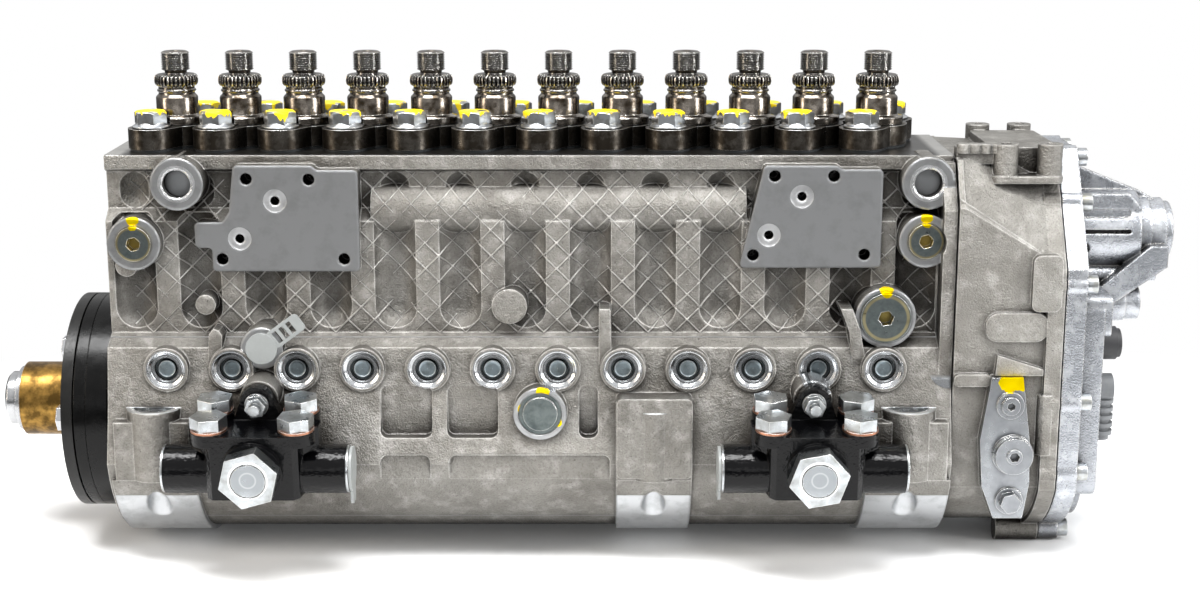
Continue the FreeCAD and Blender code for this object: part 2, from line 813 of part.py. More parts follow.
def flange_shim():
    body = new_body("flange_shim")
    sketch = sketch_on(body, "XY_Plane", "shim", d.deck_z)
    flange_outline(sketch, -0.8)
    pad(body, sketch, d.shim_thick)
    disc(body, "XY_Plane", "middle", d.deck_z, 0, 0, d.flange_mid_r - 0.6, d.shim_thick)
    bolt_hole_tools(body, d.deck_z - 1, d.shim_thick + 2)
    hole(body, "XY_Plane", "bush_bore", d.deck_z - 1, 0, 0, d.bush_r + d.running_gap, d.shim_thick + 2)
    return body


def flange_bolt():
    body = new_body("flange_bolt")
    for k, sign in enumerate((-1, 1)):
        x, y = sign * d.flange_end_x, sign * d.flange_end_y
        disc(body, "XY_Plane", f"shank_{k}", d.deck_z - 26, x, y, d.bolt_r, washer_top - d.deck_z + 26)
        sketch = sketch_on(body, "XY_Plane", f"head_{k}", washer_top)
        hexagon(sketch, x, y, d.bolt_flats, 22 + 17 * k)
        pad(body, sketch, d.bolt_head)
    return body


def flange_washer():
    body = new_body("flange_washer")
    sketch = sketch_on(body, "XY_Plane", "washers", flange_top)
    bolt_circles(sketch, d.washer_r)
    bolt_circles(sketch, d.bolt_r + d.running_gap)
    pad(body, sketch, d.washer_thick)
    return body


def plunger_barrel():
    # Each barrel has a spill port near its top, level with the fuel gallery.
    body = new_body("plunger_barrel")
    gap = 0.05
    turned(body, "barrel", [
        (d.plunger_r + gap, d.barrel_bottom), (d.barrel_r, d.barrel_bottom), (d.barrel_r, barrel_top),
        (d.plunger_r + gap, barrel_top),
    ])
    hole(body, "XZ_Plane", "spill_port", -20, 0, barrel_top - 14, 1.5, 40)
    return body


def delivery_valve_holder():
    body = new_body("delivery_valve_holder")
    top = d.holder_top
    collar = flange_top
    gap = d.running_gap
    turned(body, "holder", [
        (d.valve_bore_r + gap, barrel_top + gap + 1), (d.holder_shank_r, barrel_top + gap + 1),
        (d.holder_shank_r, collar), (d.holder_collar_r, collar), (d.holder_collar_r, collar + 4.5),
        (d.holder_r + 0.6, collar + 6), (d.holder_r, collar + 6.5),
        (d.holder_r, top - 25), (d.holder_r - 1.6, top - 23.5), (d.holder_r - 1.6, top - 22.5),
        (d.holder_r - 0.9, top - 22), (d.holder_r - 0.9, top - 21.2), (d.holder_r - 1.6, top - 20.8),
        (d.holder_r - 1.6, top - 19.5), (d.knurl_r - 1, top - 19), (d.knurl_r, top - 18),
        (d.knurl_r, top - 14), (d.knurl_r - 1, top - 13), (d.holder_neck_r, top - 12.8),
        (d.holder_neck_r, top - 11), (d.holder_thread_r, top - 10.2), (d.holder_thread_r, top - 1.2),
        (d.holder_thread_r - 1.2, top), (3, top), (1, top - 3), (1, collar + 9),
        (d.valve_bore_r + gap, collar + 7),
    ])
    knurl = sketch_on(body, "XY_Plane", "knurl_notch", top - 19.5)
    circle(knurl, d.knurl_r + 0.35, 0, 0.75)
    notch = cut(body, knurl, 7)
    ring(body, [notch], 32, "Z_Axis")
    for k, sign in enumerate((-1, 1)):
        hole(body, "XY_Plane", f"bolt_clearance_{k}", collar - 1, sign * d.flange_end_x,
             sign * d.flange_end_y, d.washer_r + 0.6, 8)
    return body


def delivery_valve():
    body = new_body("delivery_valve")
    low = barrel_top + d.running_gap
    turned(body, "valve", [
        (0, low), (d.valve_bore_r, low), (d.valve_bore_r, low + 6), (2.6, low + 8), (2.6, low + 11),
        (1.2, low + 13), (0, low + 13),
    ])
    return body


def upper_spring_seat():
    body = new_body("upper_spring_seat")
    turned(body, "upper_seat", [
        (7.2, upper_seat_top - d.seat_thick), (d.tappet_r, upper_seat_top - d.seat_thick),
        (d.tappet_r, upper_seat_top), (7.2, upper_seat_top),
    ])
    return body


def plunger_spring():
    body = new_body("plunger_spring")
    low = seat_top + d.running_gap + d.wire_r
    high = upper_seat_top - d.seat_thick - d.running_gap - d.wire_r
    sketch = sketch_on(body, "XZ_Plane", "wire")
    circle(sketch, d.spring_r, low, d.wire_r)
    coil = body.newObject("PartDesign::AdditiveHelix", "coil")
    coil.Profile = sketch
    coil.ReferenceAxis = (sketch, ["V_Axis"])
    coil.Mode = "height-turns-angle"
    bind(coil, "Height", high - low)
    bind(coil, "Turns", 4.5)
    coil.Refine = False
    return body


# One cylinder's tappet, roller and plunger, which rise together

def tappet():
    body = new_body("tappet")
    gap = d.running_gap
    slot = d.roller_width / 2 + gap
    disc(body, "XY_Plane", "skirt", tappet_bottom, 0, 0, d.tappet_r, d.tappet_length)
    sketch = sketch_on(body, "YZ_Plane", "roller_slot", -slot)
    box_outline(sketch, -d.tappet_r - 1, tappet_bottom - 1, d.tappet_r + 1, roller_z + d.roller_r + gap)
    cut(body, sketch, slot * 2)
    hole(body, "YZ_Plane", "pin_hole", -d.tappet_r, 0, roller_z, d.roller_pin_r + 0.05, d.tappet_r * 2)
    tube(body, "YZ_Plane", "roller", -d.roller_width / 2, 0, roller_z, d.roller_r,
         d.roller_pin_r + 0.05, d.roller_width)
    disc(body, "YZ_Plane", "pin", -d.tappet_r + 2.5, 0, roller_z, d.roller_pin_r, d.tappet_r * 2 - 5)
    top = d.tappet_top
    tube(body, "XY_Plane", "lower_seat", top + 0.1, 0, 0, d.spring_r + 2.6, d.plunger_r + 1, d.seat_thick - 0.1)
    turned(body, "plunger", [
        (0, top + 0.1), (d.plunger_r, top + 0.1), (d.plunger_r, plunger_top), (0, plunger_top),
    ])
    hole(body, "XY_Plane", "relief", plunger_top - 14, d.plunger_r, 0, 1.3, 20)
    return body


def control_sleeve():
    body = new_body("control_sleeve")
    low = d.control_sleeve_bottom
    tube(body, "XY_Plane", "ring", low, 0, 0, d.sleeve_out_r, d.sleeve_in_r, d.control_sleeve_top - low)
    sketch = sketch_on(body, "XY_Plane", "lever", d.rack_z - 1.5)
    box_outline(sketch, -1.4, d.sleeve_out_r - 1, 1.4, d.lever_reach)
    pad(body, sketch, 3)
    ball = d.ball_r
    turned(body, "ball", [(0, -ball), (0, ball, "half", 1)], x=0, y=d.rack_z, depth=-d.lever_reach)
    return body


def control_rack():
    # A square bar with one notch for each control sleeve's ball, and the solenoid's armature.
    body = new_body("control_rack")
    half, tall = d.rack_width / 2, d.rack_tall / 2
    left = d.first_element - 15
    sketch = sketch_on(body, "YZ_Plane", "bar", left)
    box_outline(sketch, d.rack_y - half, d.rack_z - tall, d.rack_y + half, d.rack_z + tall)
    pad(body, sketch, cover_right - 30 - left)
    sketch = sketch_on(body, "XY_Plane", "notch", d.rack_z - tall - 1)
    box_outline(sketch, d.first_element - d.notch_half, d.rack_y - half - 1,
                d.first_element + d.notch_half, d.notch_end)
    notch = cut(body, sketch, d.rack_tall + 2)
    row(body, [notch])
    disc(body, "YZ_Plane", "rod", cover_right - 31, solenoid_y, d.rack_z, 4, 34)
    disc(body, "YZ_Plane", "armature", cover_right + 2, solenoid_y, d.rack_z, d.armature_r, 26)
    return body


def rack_guides():
    body = new_body("rack_guides")
    gap = d.channel_gap - d.running_gap
    half, tall = d.rack_width / 2, d.rack_tall / 2
    for k, x in enumerate((d.first_element + d.pitch / 2 - 2, housing_right - 16)):
        sketch = sketch_on(body, "YZ_Plane", f"guide_{k}", x)
        box_outline(sketch, d.rack_y - half - gap, d.rack_z - tall - gap, d.rack_y + half + gap, d.rack_z + tall + gap)
        near = d.running_gap
        box_outline(sketch, d.rack_y - half - near, d.rack_z - tall - near,
                    d.rack_y + half + near, d.rack_z + tall + near)
        pad(body, sketch, 4)
    return body


# Camshaft and what turns with it

def camshaft():
    body = new_body("camshaft")
    wide = d.bearing_width
    turned(body, "shaft", [
        (sleeve_left, 0), (sleeve_left, d.taper_r), (sleeve_right + 2, d.taper_r),
        (sleeve_right + 2, d.shaft_r - 1), (first_bearing - 0.5, d.shaft_r - 1),
        (first_bearing - 0.5, d.journal_r), (first_bearing + wide, d.journal_r),
        (first_bearing + wide, d.shaft_r + 3), (first_bearing + wide + 3, d.shaft_r + 3),
        (first_bearing + wide + 3, d.cam_base_r - 1), (last_bearing - wide - 3, d.cam_base_r - 1),
        (last_bearing - wide - 3, d.shaft_r + 3), (last_bearing - wide, d.shaft_r + 3),
        (last_bearing - wide, d.journal_r), (last_bearing + 3, d.journal_r), (last_bearing + 3, 12),
        (governor_left + 20, 12), (governor_left + 20, 0),
    ], axis="H_Axis")
    for number in range(ELEMENTS):
        cam(body, number)
    disc(body, "YZ_Plane", "thread_stub", d.nose_left + 1.5, 0, 0, 9, sleeve_left - d.nose_left)
    sketch = sketch_on(body, "XY_Plane", "key_way", d.taper_r - 3)
    box_outline(sketch, sleeve_left + 6, -2.5, sleeve_right - 6, 2.5)
    cut(body, sketch, 4)
    return body


def cam(body, number):
    # Base circle and nose circle joined by their outer tangents, turned to its firing phase.
    r, nose = d.cam_base_r, d.cam_nose_r
    reach = r + d.cam_lift - nose
    cosine = (r - nose) / reach
    sine = root(1 - cosine * cosine)
    x = d.first_element + d.pitch * number - d.cam_width / 2
    sketch = sketch_on(body, "YZ_Plane", f"cam_{number + 1}", x)
    turn_sketch(sketch, Vector(0, 0, 1), 15 + 30 * FIRING_ORDER[number])
    outline(sketch, [
        (reach + nose * cosine, -(nose * sine)), (reach + nose * cosine, nose * sine, nose, 1),
        (r * cosine, r * sine), (-r, 0, r, 1), (r * cosine, -(r * sine), r, 1),
    ])
    pad(body, sketch, d.cam_width)


def coupling_sleeve():
    body = new_body("coupling_sleeve")
    gap = 0.05
    tube(body, "YZ_Plane", "sleeve", sleeve_left, 0, 0, d.sleeve_r, d.taper_r + gap, d.sleeve_length)
    return body


def shaft_nut():
    body = new_body("shaft_nut")
    turned(body, "nut", [
        (d.nose_left, 9.1), (d.nose_left, d.nose_r - 1.5), (d.nose_left + 1.5, d.nose_r),
        (sleeve_left - 3, d.nose_r), (sleeve_left - 3, d.sleeve_r - 2.5), (sleeve_left - 0.5, d.sleeve_r - 2.5),
        (sleeve_left, d.sleeve_r - 3.5), (sleeve_left, 9.1),
    ], axis="H_Axis")
    return body


def damper_plate():
    body = new_body("damper_plate")
    left = plate_right - d.plate_thick
    tube(body, "YZ_Plane", "plate", left, 0, 0, d.damper_r, hub_bore_r, d.plate_thick)
    screw = hole(body, "YZ_Plane", "screw_hole", left - 1, d.hub_circle_r, 0, d.hub_screw_r + 0.3, d.plate_thick + 2)
    ring(body, [screw], HUB_SCREWS)
    return body


def vibration_damper():
    # A closed ring that holds the damping mass, with a welded lid that leaves a fine seam.
    body = new_body("vibration_damper")
    left, right = plate_right, damper_right
    lip = d.damper_lip
    turned(body, "case", [
        (left, hub_bore_r), (left, d.damper_r - lip), (left + lip, d.damper_r),
        (left + 7, d.damper_r), (left + 7.2, d.damper_r - 0.5), (left + 7.5, d.damper_r),
        (right - lip, d.damper_r), (right, d.damper_r - lip), (right, hub_bore_r),
    ], axis="H_Axis")
    screw = hole(body, "YZ_Plane", "screw_hole", left - 1, d.hub_circle_r, 0, d.hub_screw_r + 0.3, 14)
    ring(body, [screw], HUB_SCREWS)
    return body


def hub_screws():
    body = new_body("hub_screws")
    left = plate_right - d.plate_thick
    shank = disc(body, "YZ_Plane", "shank", left - 2, d.hub_circle_r, 0, d.hub_screw_r, d.plate_thick + 12)
    sketch = sketch_on(body, "YZ_Plane", "head", left - 7)
    hexagon(sketch, d.hub_circle_r, 0, 13)
    head = pad(body, sketch, 5.5)
    flange = disc(body, "YZ_Plane", "flange", left - 2, d.hub_circle_r, 0, 8.5, 2)
    ring(body, [shank, head, flange], HUB_SCREWS)
    return body


def bearing_places():
    return ((first_bearing, 1), (last_bearing, -1))


def bearing_race(label, points_of):
    body = new_body(label)
    for k, (x, way) in enumerate(bearing_places()):
        points = [(x + way * along, r) for along, r in points_of()]
        turned(body, f"race_{k}", points, axis="H_Axis")
    return body


def bearing_cups():
    w = d.bearing_width
    return bearing_race("bearing_cups", lambda: [
        (0, d.bearing_bore_r), (0, d.bearing_r - 0.05), (w, d.bearing_r - 0.05), (w, d.bearing_bore_r),
    ])


def bearing_cones():
    w = d.bearing_width
    return bearing_race("bearing_cones", lambda: [
        (0, d.journal_r + 0.05), (0, d.bearing_cone_r), (w, d.bearing_cone_r), (w, d.journal_r + 0.05),
    ])


def bearing_rollers():
    # Cylindrical rollers between the inner and outer rings.
    body = new_body("bearing_rollers")
    w = d.bearing_width
    middle = (d.bearing_cone_r + d.bearing_bore_r) / 2
    r = (d.bearing_bore_r - d.bearing_cone_r) / 2 - 0.05
    for k, (x, way) in enumerate(bearing_places()):
        start = x + 1 if way > 0 else x - w + 1
        roller = disc(body, "YZ_Plane", f"roller_{k}", start, 0, middle, r, w - 2)
        ring(body, [roller], 16)
    return body


def bearing_end_plate():
    body = new_body("bearing_end_plate")
    left = d.housing_left
    tube(body, "YZ_Plane", "plate", left, 0, 0, d.end_plate_r - d.running_gap, d.seal_r, d.end_plate_thick)
    hole(body, "YZ_Plane", "bearing_seat", first_bearing, 0, 0, d.bearing_r, d.end_plate_thick)
    screw = hole(body, "YZ_Plane", "screw_seat", left - 1, d.end_screw_circle, 0, 5, 7)
    through = hole(body, "YZ_Plane", "screw_hole", left, d.end_screw_circle, 0, 3.3, 20)
    ring(body, [screw, through], END_SCREWS)
    return body


def end_plate_screws():
    body = new_body("end_plate_screws")
    left = d.housing_left
    head = disc(body, "YZ_Plane", "head", left + 0.5, d.end_screw_circle, 0, 4.7, 5.2)
    shank = disc(body, "YZ_Plane", "shank", left + 5, d.end_screw_circle, 0, 3, 21)
    ring(body, [head, shank], END_SCREWS)
    return body


def shaft_seal():
    body = new_body("shaft_seal")
    left = d.housing_left + 1
    turned(body, "seal", [
        (left, d.shaft_r - 0.7), (left, d.seal_r - 0.05), (left + d.seal_width, d.seal_r - 0.05),
        (left + d.seal_width, d.seal_r - 2), (left + 1.5, d.seal_r - 2), (left + 1.5, d.shaft_r + 1),
        (left + 4, d.shaft_r - 0.7),
    ], axis="H_Axis")
    return body


def speed_wheel():
    # The toothed wheel that the speed pickup reads.
    body = new_body("speed_wheel")
    left = governor_left + 8
    tube(body, "YZ_Plane", "rim", left, 0, 0, 34, 12.05, 6)
    sketch = sketch_on(body, "YZ_Plane", "gap", left - 1)
    box_outline(sketch, 30, -1.8, 36, 1.8)
    tooth = cut(body, sketch, 8)
    ring(body, [tooth], 24)
    return body


# Plugs and caps on the pump housing

def port_plugs():
    body = new_body("port_plugs")
    plug = disc(body, "XZ_Plane", "plug", PORT_FACE - 3.6, d.first_element, PORT_Z, 6.5, 4.5, back=True)
    step = disc(body, "XZ_Plane", "step", PORT_FACE - 2.8, d.first_element, PORT_Z, 4.4, 1.2, back=True)
    row(body, [plug, step])
    return body


def boss_plug(body, name, r, below, thick, dome=0):
    x, z, _, face, _, _ = BOSSES[name]
    disc(body, "XZ_Plane", f"plug_{name}", face - below, x, z, r, thick, back=True)
    if dome:
        disc(body, "XZ_Plane", f"crown_{name}", face - below + dome, x, z, r - 1.2, dome, back=True)


def core_plugs():
    body = new_body("core_plugs")
    for name in ("gallery_left", "gallery_right"):
        boss_plug(body, name, 7.5, 6.5, 2)
    return body


def socket_plugs():
    body = new_body("socket_plugs")
    for name in ("socket_left", "socket_right"):
        x, z, _, face, _, _ = BOSSES[name]
        boss_plug(body, name, 9.5, -1.2, 8)
        sketch = sketch_on(body, "XZ_Plane", f"hex_{name}", face + 1.2)
        hexagon(sketch, x, z, 6.8, 15)
        cut(body, sketch, 5, back=True)
    return body


def large_plug():
    body = new_body("large_plug")
    x, z, _, face, _, _ = BOSSES["large"]
    boss_plug(body, "large", 13.7, -1.5, 9)
    sketch = sketch_on(body, "XZ_Plane", "hex", face + 1.5)
    hexagon(sketch, x, z, 7.5, 10)
    cut(body, sketch, 6, back=True)
    return body


def round_plug():
    body = new_body("round_plug")
    boss_plug(body, "round", 9.3, -1.0, 8)
    x, z, _, face, _, _ = BOSSES["round"]
    tube(body, "XZ_Plane", "ring", face - 0.5, x, z, 11.7, 9.3, 5, back=True)
    return body


def strap_cap():
    # A soft dust cap with a pull tab that has three windows.
    body = new_body("strap_cap")
    x, z, _, face, _, _ = BOSSES["strap"]
    disc(body, "XZ_Plane", "cap", 2.2, 0, 0, 8.6, 2, back=True)
    disc(body, "XZ_Plane", "stem", 0.5, 0, 0, 6.3, 7, back=True)
    sketch = sketch_on(body, "XZ_Plane", "strap", 1.6)
    turn_sketch(sketch, Vector(0, 0, 1), 36)
    rounded_box(sketch, as_size(6), as_size(-5.2), as_size(27), as_size(5.2), 2.4)
    for k, left in enumerate((9.6, 14.2, 18.8)):
        box_outline(sketch, left, -3.4, left + 2.8, 3.4)
    pad(body, sketch, 1.4, back=True)
    place(body, x, -face, z)
    return body


# Feed pumps, drawn level and then tilted about the camshaft axis

FEED_SIDES = {"left": d.feed_1, "right": d.feed_2}
VALVE_X = 23.0
VALVE_Y = (95.5, 75.5)
VALVE_RISE = (0.0, 3.0)


def tilt(body):
    body.Placement = FreeCAD.Placement(Vector(0, 0, 0), Rotation(Vector(1, 0, 0), 0))
    bind(body, "Placement.Rotation.Angle", d.feed_tilt)


def both_pumps(body, features):
    return row(body, features, 2, d.feed_2 - d.feed_1)


def feed_pump(side):
    body = new_body(f"feed_pump_{side}")
    x = FEED_SIDES[side]
    top, low, axis = d.feed_top, d.feed_bottom, d.feed_axis_z
    front, back = d.feed_half_front, d.feed_half_back
    mount = d.feed_mount + d.running_gap
    sketch = sketch_on(body, "XY_Plane", "plan", low)
    nose, step = d.feed_nose, d.feed_step
    outline(sketch, [
        (x - back, -mount - 7), (x - back, -step + 2), (x - front - 1.5, -step - 3), (x - front, -nose + 3),
        (x - front + 3, -nose), (x + front - 3, -nose), (x + front, -nose + 3), (x + front + 1.5, -step - 3),
        (x + back, -step + 2), (x + back, -mount - 7),
    ])
    pad(body, sketch, top - low)
    disc(body, "XZ_Plane", "neck", mount, x, axis, d.feed_seat_r, 10)
    sketch = sketch_on(body, "XZ_Plane", "ear", mount)
    outline(sketch, [
        (x - 13, 17), (x - 26, 8), (x - 26, -12), (x + 26, -12), (x + 26, 8), (x + 13, 17),
        (x + 7.5, STUD_Z + 5.5), (x, STUD_Z + 9.5, 9.6, 1), (x - 7.5, STUD_Z + 5.5, 9.6, 1),
    ])
    pad(body, sketch, 7)
    disc(body, "YZ_Plane", "port_tube", x - d.feed_port_half, -d.feed_port_y, d.feed_port_z, d.feed_port_r,
         d.feed_port_half * 2)
    disc(body, "XZ_Plane", "plug_boss", nose - 1, x, axis, 16.5, 3.5)
    for k, (y, rise) in enumerate(zip(VALVE_Y, VALVE_RISE)):
        for way in (-1, 1):
            disc(body, "XY_Plane", f"valve_boss_{k}_{way + 1}", top - 6, x + way * VALVE_X, -y, 9.9, 6.8 + rise)
    hole(body, "XZ_Plane", "piston_bore", mount - 4, x, axis, d.feed_bore_r, nose - mount + 8)
    hole(body, "XZ_Plane", "stud_hole", mount - 1, x, STUD_Z, 3.4, 10)
    for way in (-1, 1):
        hole(body, "YZ_Plane", f"port_bore_{way + 1}", x + way * (d.feed_port_half + 1), -d.feed_port_y,
             d.feed_port_z, 8.5, 20, back=way > 0)
    tilt(body)
    return body


def feed_piston_plugs():
    body = new_body("feed_piston_plugs")
    face = d.feed_nose + 2.5
    for side, turn_by in (("left", 16), ("right", 11)):
        x = FEED_SIDES[side]
        disc(body, "XZ_Plane", f"thread_{side}", face - 8, x, d.feed_axis_z, d.feed_bore_r - 0.1, 8.1)
        sketch = sketch_on(body, "XZ_Plane", f"hex_{side}", face + 0.1)
        hexagon(sketch, x, d.feed_axis_z, 28, turn_by)
        pad(body, sketch, 9.4)
        groove = sketch_on(body, "XZ_Plane", f"rim_{side}", face + 8.8)
        circle(groove, x, d.feed_axis_z, 9.6)
        circle(groove, x, d.feed_axis_z, 9.0)
        cut(body, groove, 2)
    tilt(body)
    return body


def valve_places():
    return [(way * VALVE_X, -y, d.feed_top + 0.8 + rise) for y, rise in zip(VALVE_Y, VALVE_RISE) for way in (-1, 1)]


def feed_valve_washers():
    body = new_body("feed_valve_washers")
    parts = [tube(body, "XY_Plane", f"washer_{k}", z, d.feed_1 + x, y, 9.6, 8.2, 1.5)
             for k, (x, y, z) in enumerate(valve_places())]
    both_pumps(body, parts)
    tilt(body)
    return body


def feed_valve_plugs():
    body = new_body("feed_valve_plugs")
    parts = []
    for k, (x, y, z) in enumerate(valve_places()):
        parts.append(disc(body, "XY_Plane", f"collar_{k}", z, d.feed_1 + x, y, 8, 1.6))
        sketch = sketch_on(body, "XY_Plane", f"hex_{k}", z + 1.5)
        hexagon(sketch, d.feed_1 + x, y, 17, 12 + 9 * k)
        parts.append(pad(body, sketch, 6.5))
    both_pumps(body, parts)
    tilt(body)
    return body


def feed_port_rings():
    body = new_body("feed_port_rings")
    parts = []
    for way in (-1, 1):
        start = d.feed_1 + way * d.feed_port_half
        parts.append(tube(body, "YZ_Plane", f"ring_{way + 1}", start, -d.feed_port_y, d.feed_port_z,
                          d.feed_port_r - 0.4, 8.5, 1.2, back=way < 0))
    both_pumps(body, parts)
    tilt(body)
    return body


def feed_port_caps():
    # White transport caps in the inner ports, each with a flat pull tab.
    body = new_body("feed_port_caps")
    for name, x, way in (("left", d.feed_1 + d.feed_port_half, 1), ("right", d.feed_2 - d.feed_port_half, -1)):
        start = x + way * 1.4
        disc(body, "YZ_Plane", f"flange_{name}", start, -d.feed_port_y, d.feed_port_z, 12, 1.6, back=way < 0)
        disc(body, "YZ_Plane", f"stem_{name}", start, -d.feed_port_y, d.feed_port_z, 8.2, 9, back=way > 0)
        sketch = sketch_on(body, "YZ_Plane", f"tab_{name}", start)
        length = 19 if way > 0 else 17
        rounded_box(sketch, -d.feed_port_y - 5, d.feed_port_z - length, -d.feed_port_y + 5, d.feed_port_z, 2.5)
        pad(body, sketch, 1.6, back=way < 0)
    tilt(body)
    return body


def feed_studs():
    body = new_body("feed_studs")
    mount = d.feed_mount
    stud = disc(body, "XZ_Plane", "stud", mount - 12, d.feed_1, STUD_Z, 3, 30)
    both_pumps(body, [stud])
    tilt(body)
    return body


def feed_nuts():
    body = new_body("feed_nuts")
    face = d.feed_mount + d.running_gap + 7
    washer = tube(body, "XZ_Plane", "washer", face, d.feed_1, STUD_Z, 6.4, 3.1, 1.6)
    sketch = sketch_on(body, "XZ_Plane", "nut", face + 1.6)
    hexagon(sketch, d.feed_1, STUD_Z, 10, 10)
    circle(sketch, d.feed_1, STUD_Z, 3.1)
    nut = pad(body, sketch, 5)
    both_pumps(body, [washer, nut])
    tilt(body)
    return body


def feed_piston(side):
    body = new_body(f"feed_piston_{side}")
    x = FEED_SIDES[side]
    axis = d.feed_axis_z
    disc(body, "XZ_Plane", "piston", d.feed_mount + 2, x, axis, d.feed_piston_r, 18)
    disc(body, "XZ_Plane", "rod", FEED_TIP + 8, x, axis, 5, d.feed_mount - FEED_TIP)
    disc(body, "XZ_Plane", "tappet", FEED_TIP, x, axis, 11.5, 14)
    tilt(body)
    return body


def feed_spring(side):
    body = new_body(f"feed_spring_{side}")
    x = FEED_SIDES[side]
    low = d.feed_mount + 20 + 1.3
    high = d.feed_nose + 2.5 - 8 - 1.3
    sketch = sketch_on(body, "XY_Plane", "wire", d.feed_axis_z)
    shift_sketch(sketch, x)
    circle(sketch, 8.5, -low, 1)
    coil = body.newObject("PartDesign::AdditiveHelix", "coil")
    coil.Profile = sketch
    coil.ReferenceAxis = (sketch, ["V_Axis"])
    coil.Mode = "height-turns-angle"
    coil.Reversed = True
    bind(coil, "Height", high - low)
    bind(coil, "Turns", 2.5)
    coil.Refine = False
    tilt(body)
    return body


# Governor housing and the actuator cover

def governor_outline(sketch, inset=0):
    # The end towards the cover is a bell: its sides lean in above the shoulder.
    half = d.governor_half - inset
    top = d.governor_top - inset
    r = d.governor_r - inset
    low = root(r * r - half * half)
    top_half = d.governor_top_half - as_size(0.54) * inset
    shoulder = d.governor_shoulder - as_size(0.3) * inset
    outline(sketch, [
        (top_half, top), (-top_half, top), (-half, shoulder), (-half, -low),
        (half, -low, r, 1), (half, shoulder),
    ])


def governor_section(sketch, inset=0):
    # The end towards the pump stays wide to the top.
    half = d.governor_half - inset
    top = d.governor_top - inset
    r = d.governor_r - inset
    low = root(r * r - half * half)
    outline(sketch, [
        (46 - inset, top), (-46 + inset, top), (-half, top - 24), (-half, -low),
        (half, -low, r, 1), (half, top - 24),
    ])


def governor_housing():
    left = governor_left
    shell = new_body("governor_shell")
    sketch = sketch_on(shell, "YZ_Plane", "section", left)
    governor_section(sketch)
    pad(shell, sketch, d.governor_length)
    governor_shoulders(shell)
    raised = new_body("governor_raised")
    governor_flange(raised)
    governor_front(raised)
    roof = new_body("governor_roof")
    governor_top_bosses(roof)
    tools = new_body("governor_tools")
    governor_room(tools)
    disc(tools, "YZ_Plane", "shaft_hole", left - 1, 0, 0, 15, 20)
    sketch = sketch_on(tools, "YZ_Plane", "rack_hole", left - 1)
    half = d.rack_width / 2 + d.channel_gap
    box_outline(sketch, d.rack_y - half, d.rack_z - half, d.rack_y + half, d.rack_z + half)
    pad(tools, sketch, 20)
    for k, (y, z) in enumerate(COVER_SCREWS):
        disc(tools, "YZ_Plane", f"screw_tap_{k}", governor_right + 1, y, z, 3.1, 9, back=True)
    for k, along in enumerate((27, 51)):
        for sign in (-1, 1):
            disc(tools, "XY_Plane", f"column_hole_{k}_{sign + 1}", d.roof_z + 1, left + along,
                 sign * 40, 3.3, 13, back=True)
    cast = fused("governor_cast", [shell, raised, roof])
    return cut_from("governor_housing", cast, tools)


def governor_room(body):
    sketch = sketch_on(body, "YZ_Plane", "room", governor_left + d.governor_wall)
    governor_outline(sketch, d.governor_wall)
    pad(body, sketch, d.governor_length)


def governor_shoulders(body):
    # The upper corners slope back, more towards the cover, so a diagonal edge crosses each side.
    half, top = d.governor_half, d.governor_top
    near = [(half + 2, top - 24), (half + 2, top + 2), (41, top + 2), (half - 0.5, top - 24)]
    far = [(half + 2, d.governor_shoulder + 0.7), (half + 2, top + 2), (d.governor_top_half - 1.3, top + 2),
           (half - 0.5, d.governor_shoulder + 0.7)]
    for k, sign in enumerate((-1, 1)):
        ends = []
        for name, x, points in (("near", governor_left + 3, near), ("far", governor_right + 1, far)):
            sketch = sketch_on(body, "YZ_Plane", f"shoulder_{name}_{k}", x)
            outline(sketch, [(sign * y, z) for y, z in points])
            ends.append(sketch)
        loft = body.newObject("PartDesign::SubtractiveLoft", f"shoulder_{k}")
        loft.Profile = ends[0]
        loft.Sections = [ends[1]]
        loft.Ruled = True
        loft.Refine = False


def governor_flange(body):
    # The flange that the cover bolts to, with its screw bosses.
    sketch = sketch_on(body, "YZ_Plane", "flange", governor_right - 9)
    governor_outline(sketch, -3)
    governor_outline(sketch, d.governor_wall)
    pad(body, sketch, 9)
    for k, (y, z) in enumerate(COVER_SCREWS):
        disc(body, "YZ_Plane", f"screw_boss_{k}", governor_right - 9, y, z, 6.5, 9)


def governor_top_bosses(body):
    # A thin shelf stands out over each shoulder and carries the four columns.
    top = d.governor_top
    x = governor_left + 27
    for k, along in enumerate((0, 24)):
        for sign in (-1, 1):
            disc(body, "XY_Plane", f"column_{k}_{sign + 1}", d.shelf_z - 1, x + along, sign * 40, 6.8,
                 d.roof_z - d.shelf_z + 1)
    sketch = sketch_on(body, "XY_Plane", "shelf", d.shelf_z - 4)
    rounded_box(sketch, x - 8, as_size(-47), governor_right, as_size(47), as_size(5))
    pad(body, sketch, 4)
    sketch = sketch_on(body, "XY_Plane", "roof", d.shelf_z - 2)
    rounded_box(sketch, x - 6, as_size(-34), governor_right, as_size(34), as_size(4))
    pad(body, sketch, d.roof_z - d.shelf_z - 1)
    for k in range(4):
        disc(body, "XY_Plane", f"top_lug_{k}", top + 3, governor_left + 4 + 6 * k, -40, 3.6, 5)
    sketch = sketch_on(body, "XY_Plane", "lug_bridge", top - 3)
    box_outline(sketch, governor_left + 0.4, as_size(-41), governor_left + 24, as_size(-32))
    pad(body, sketch, 9)


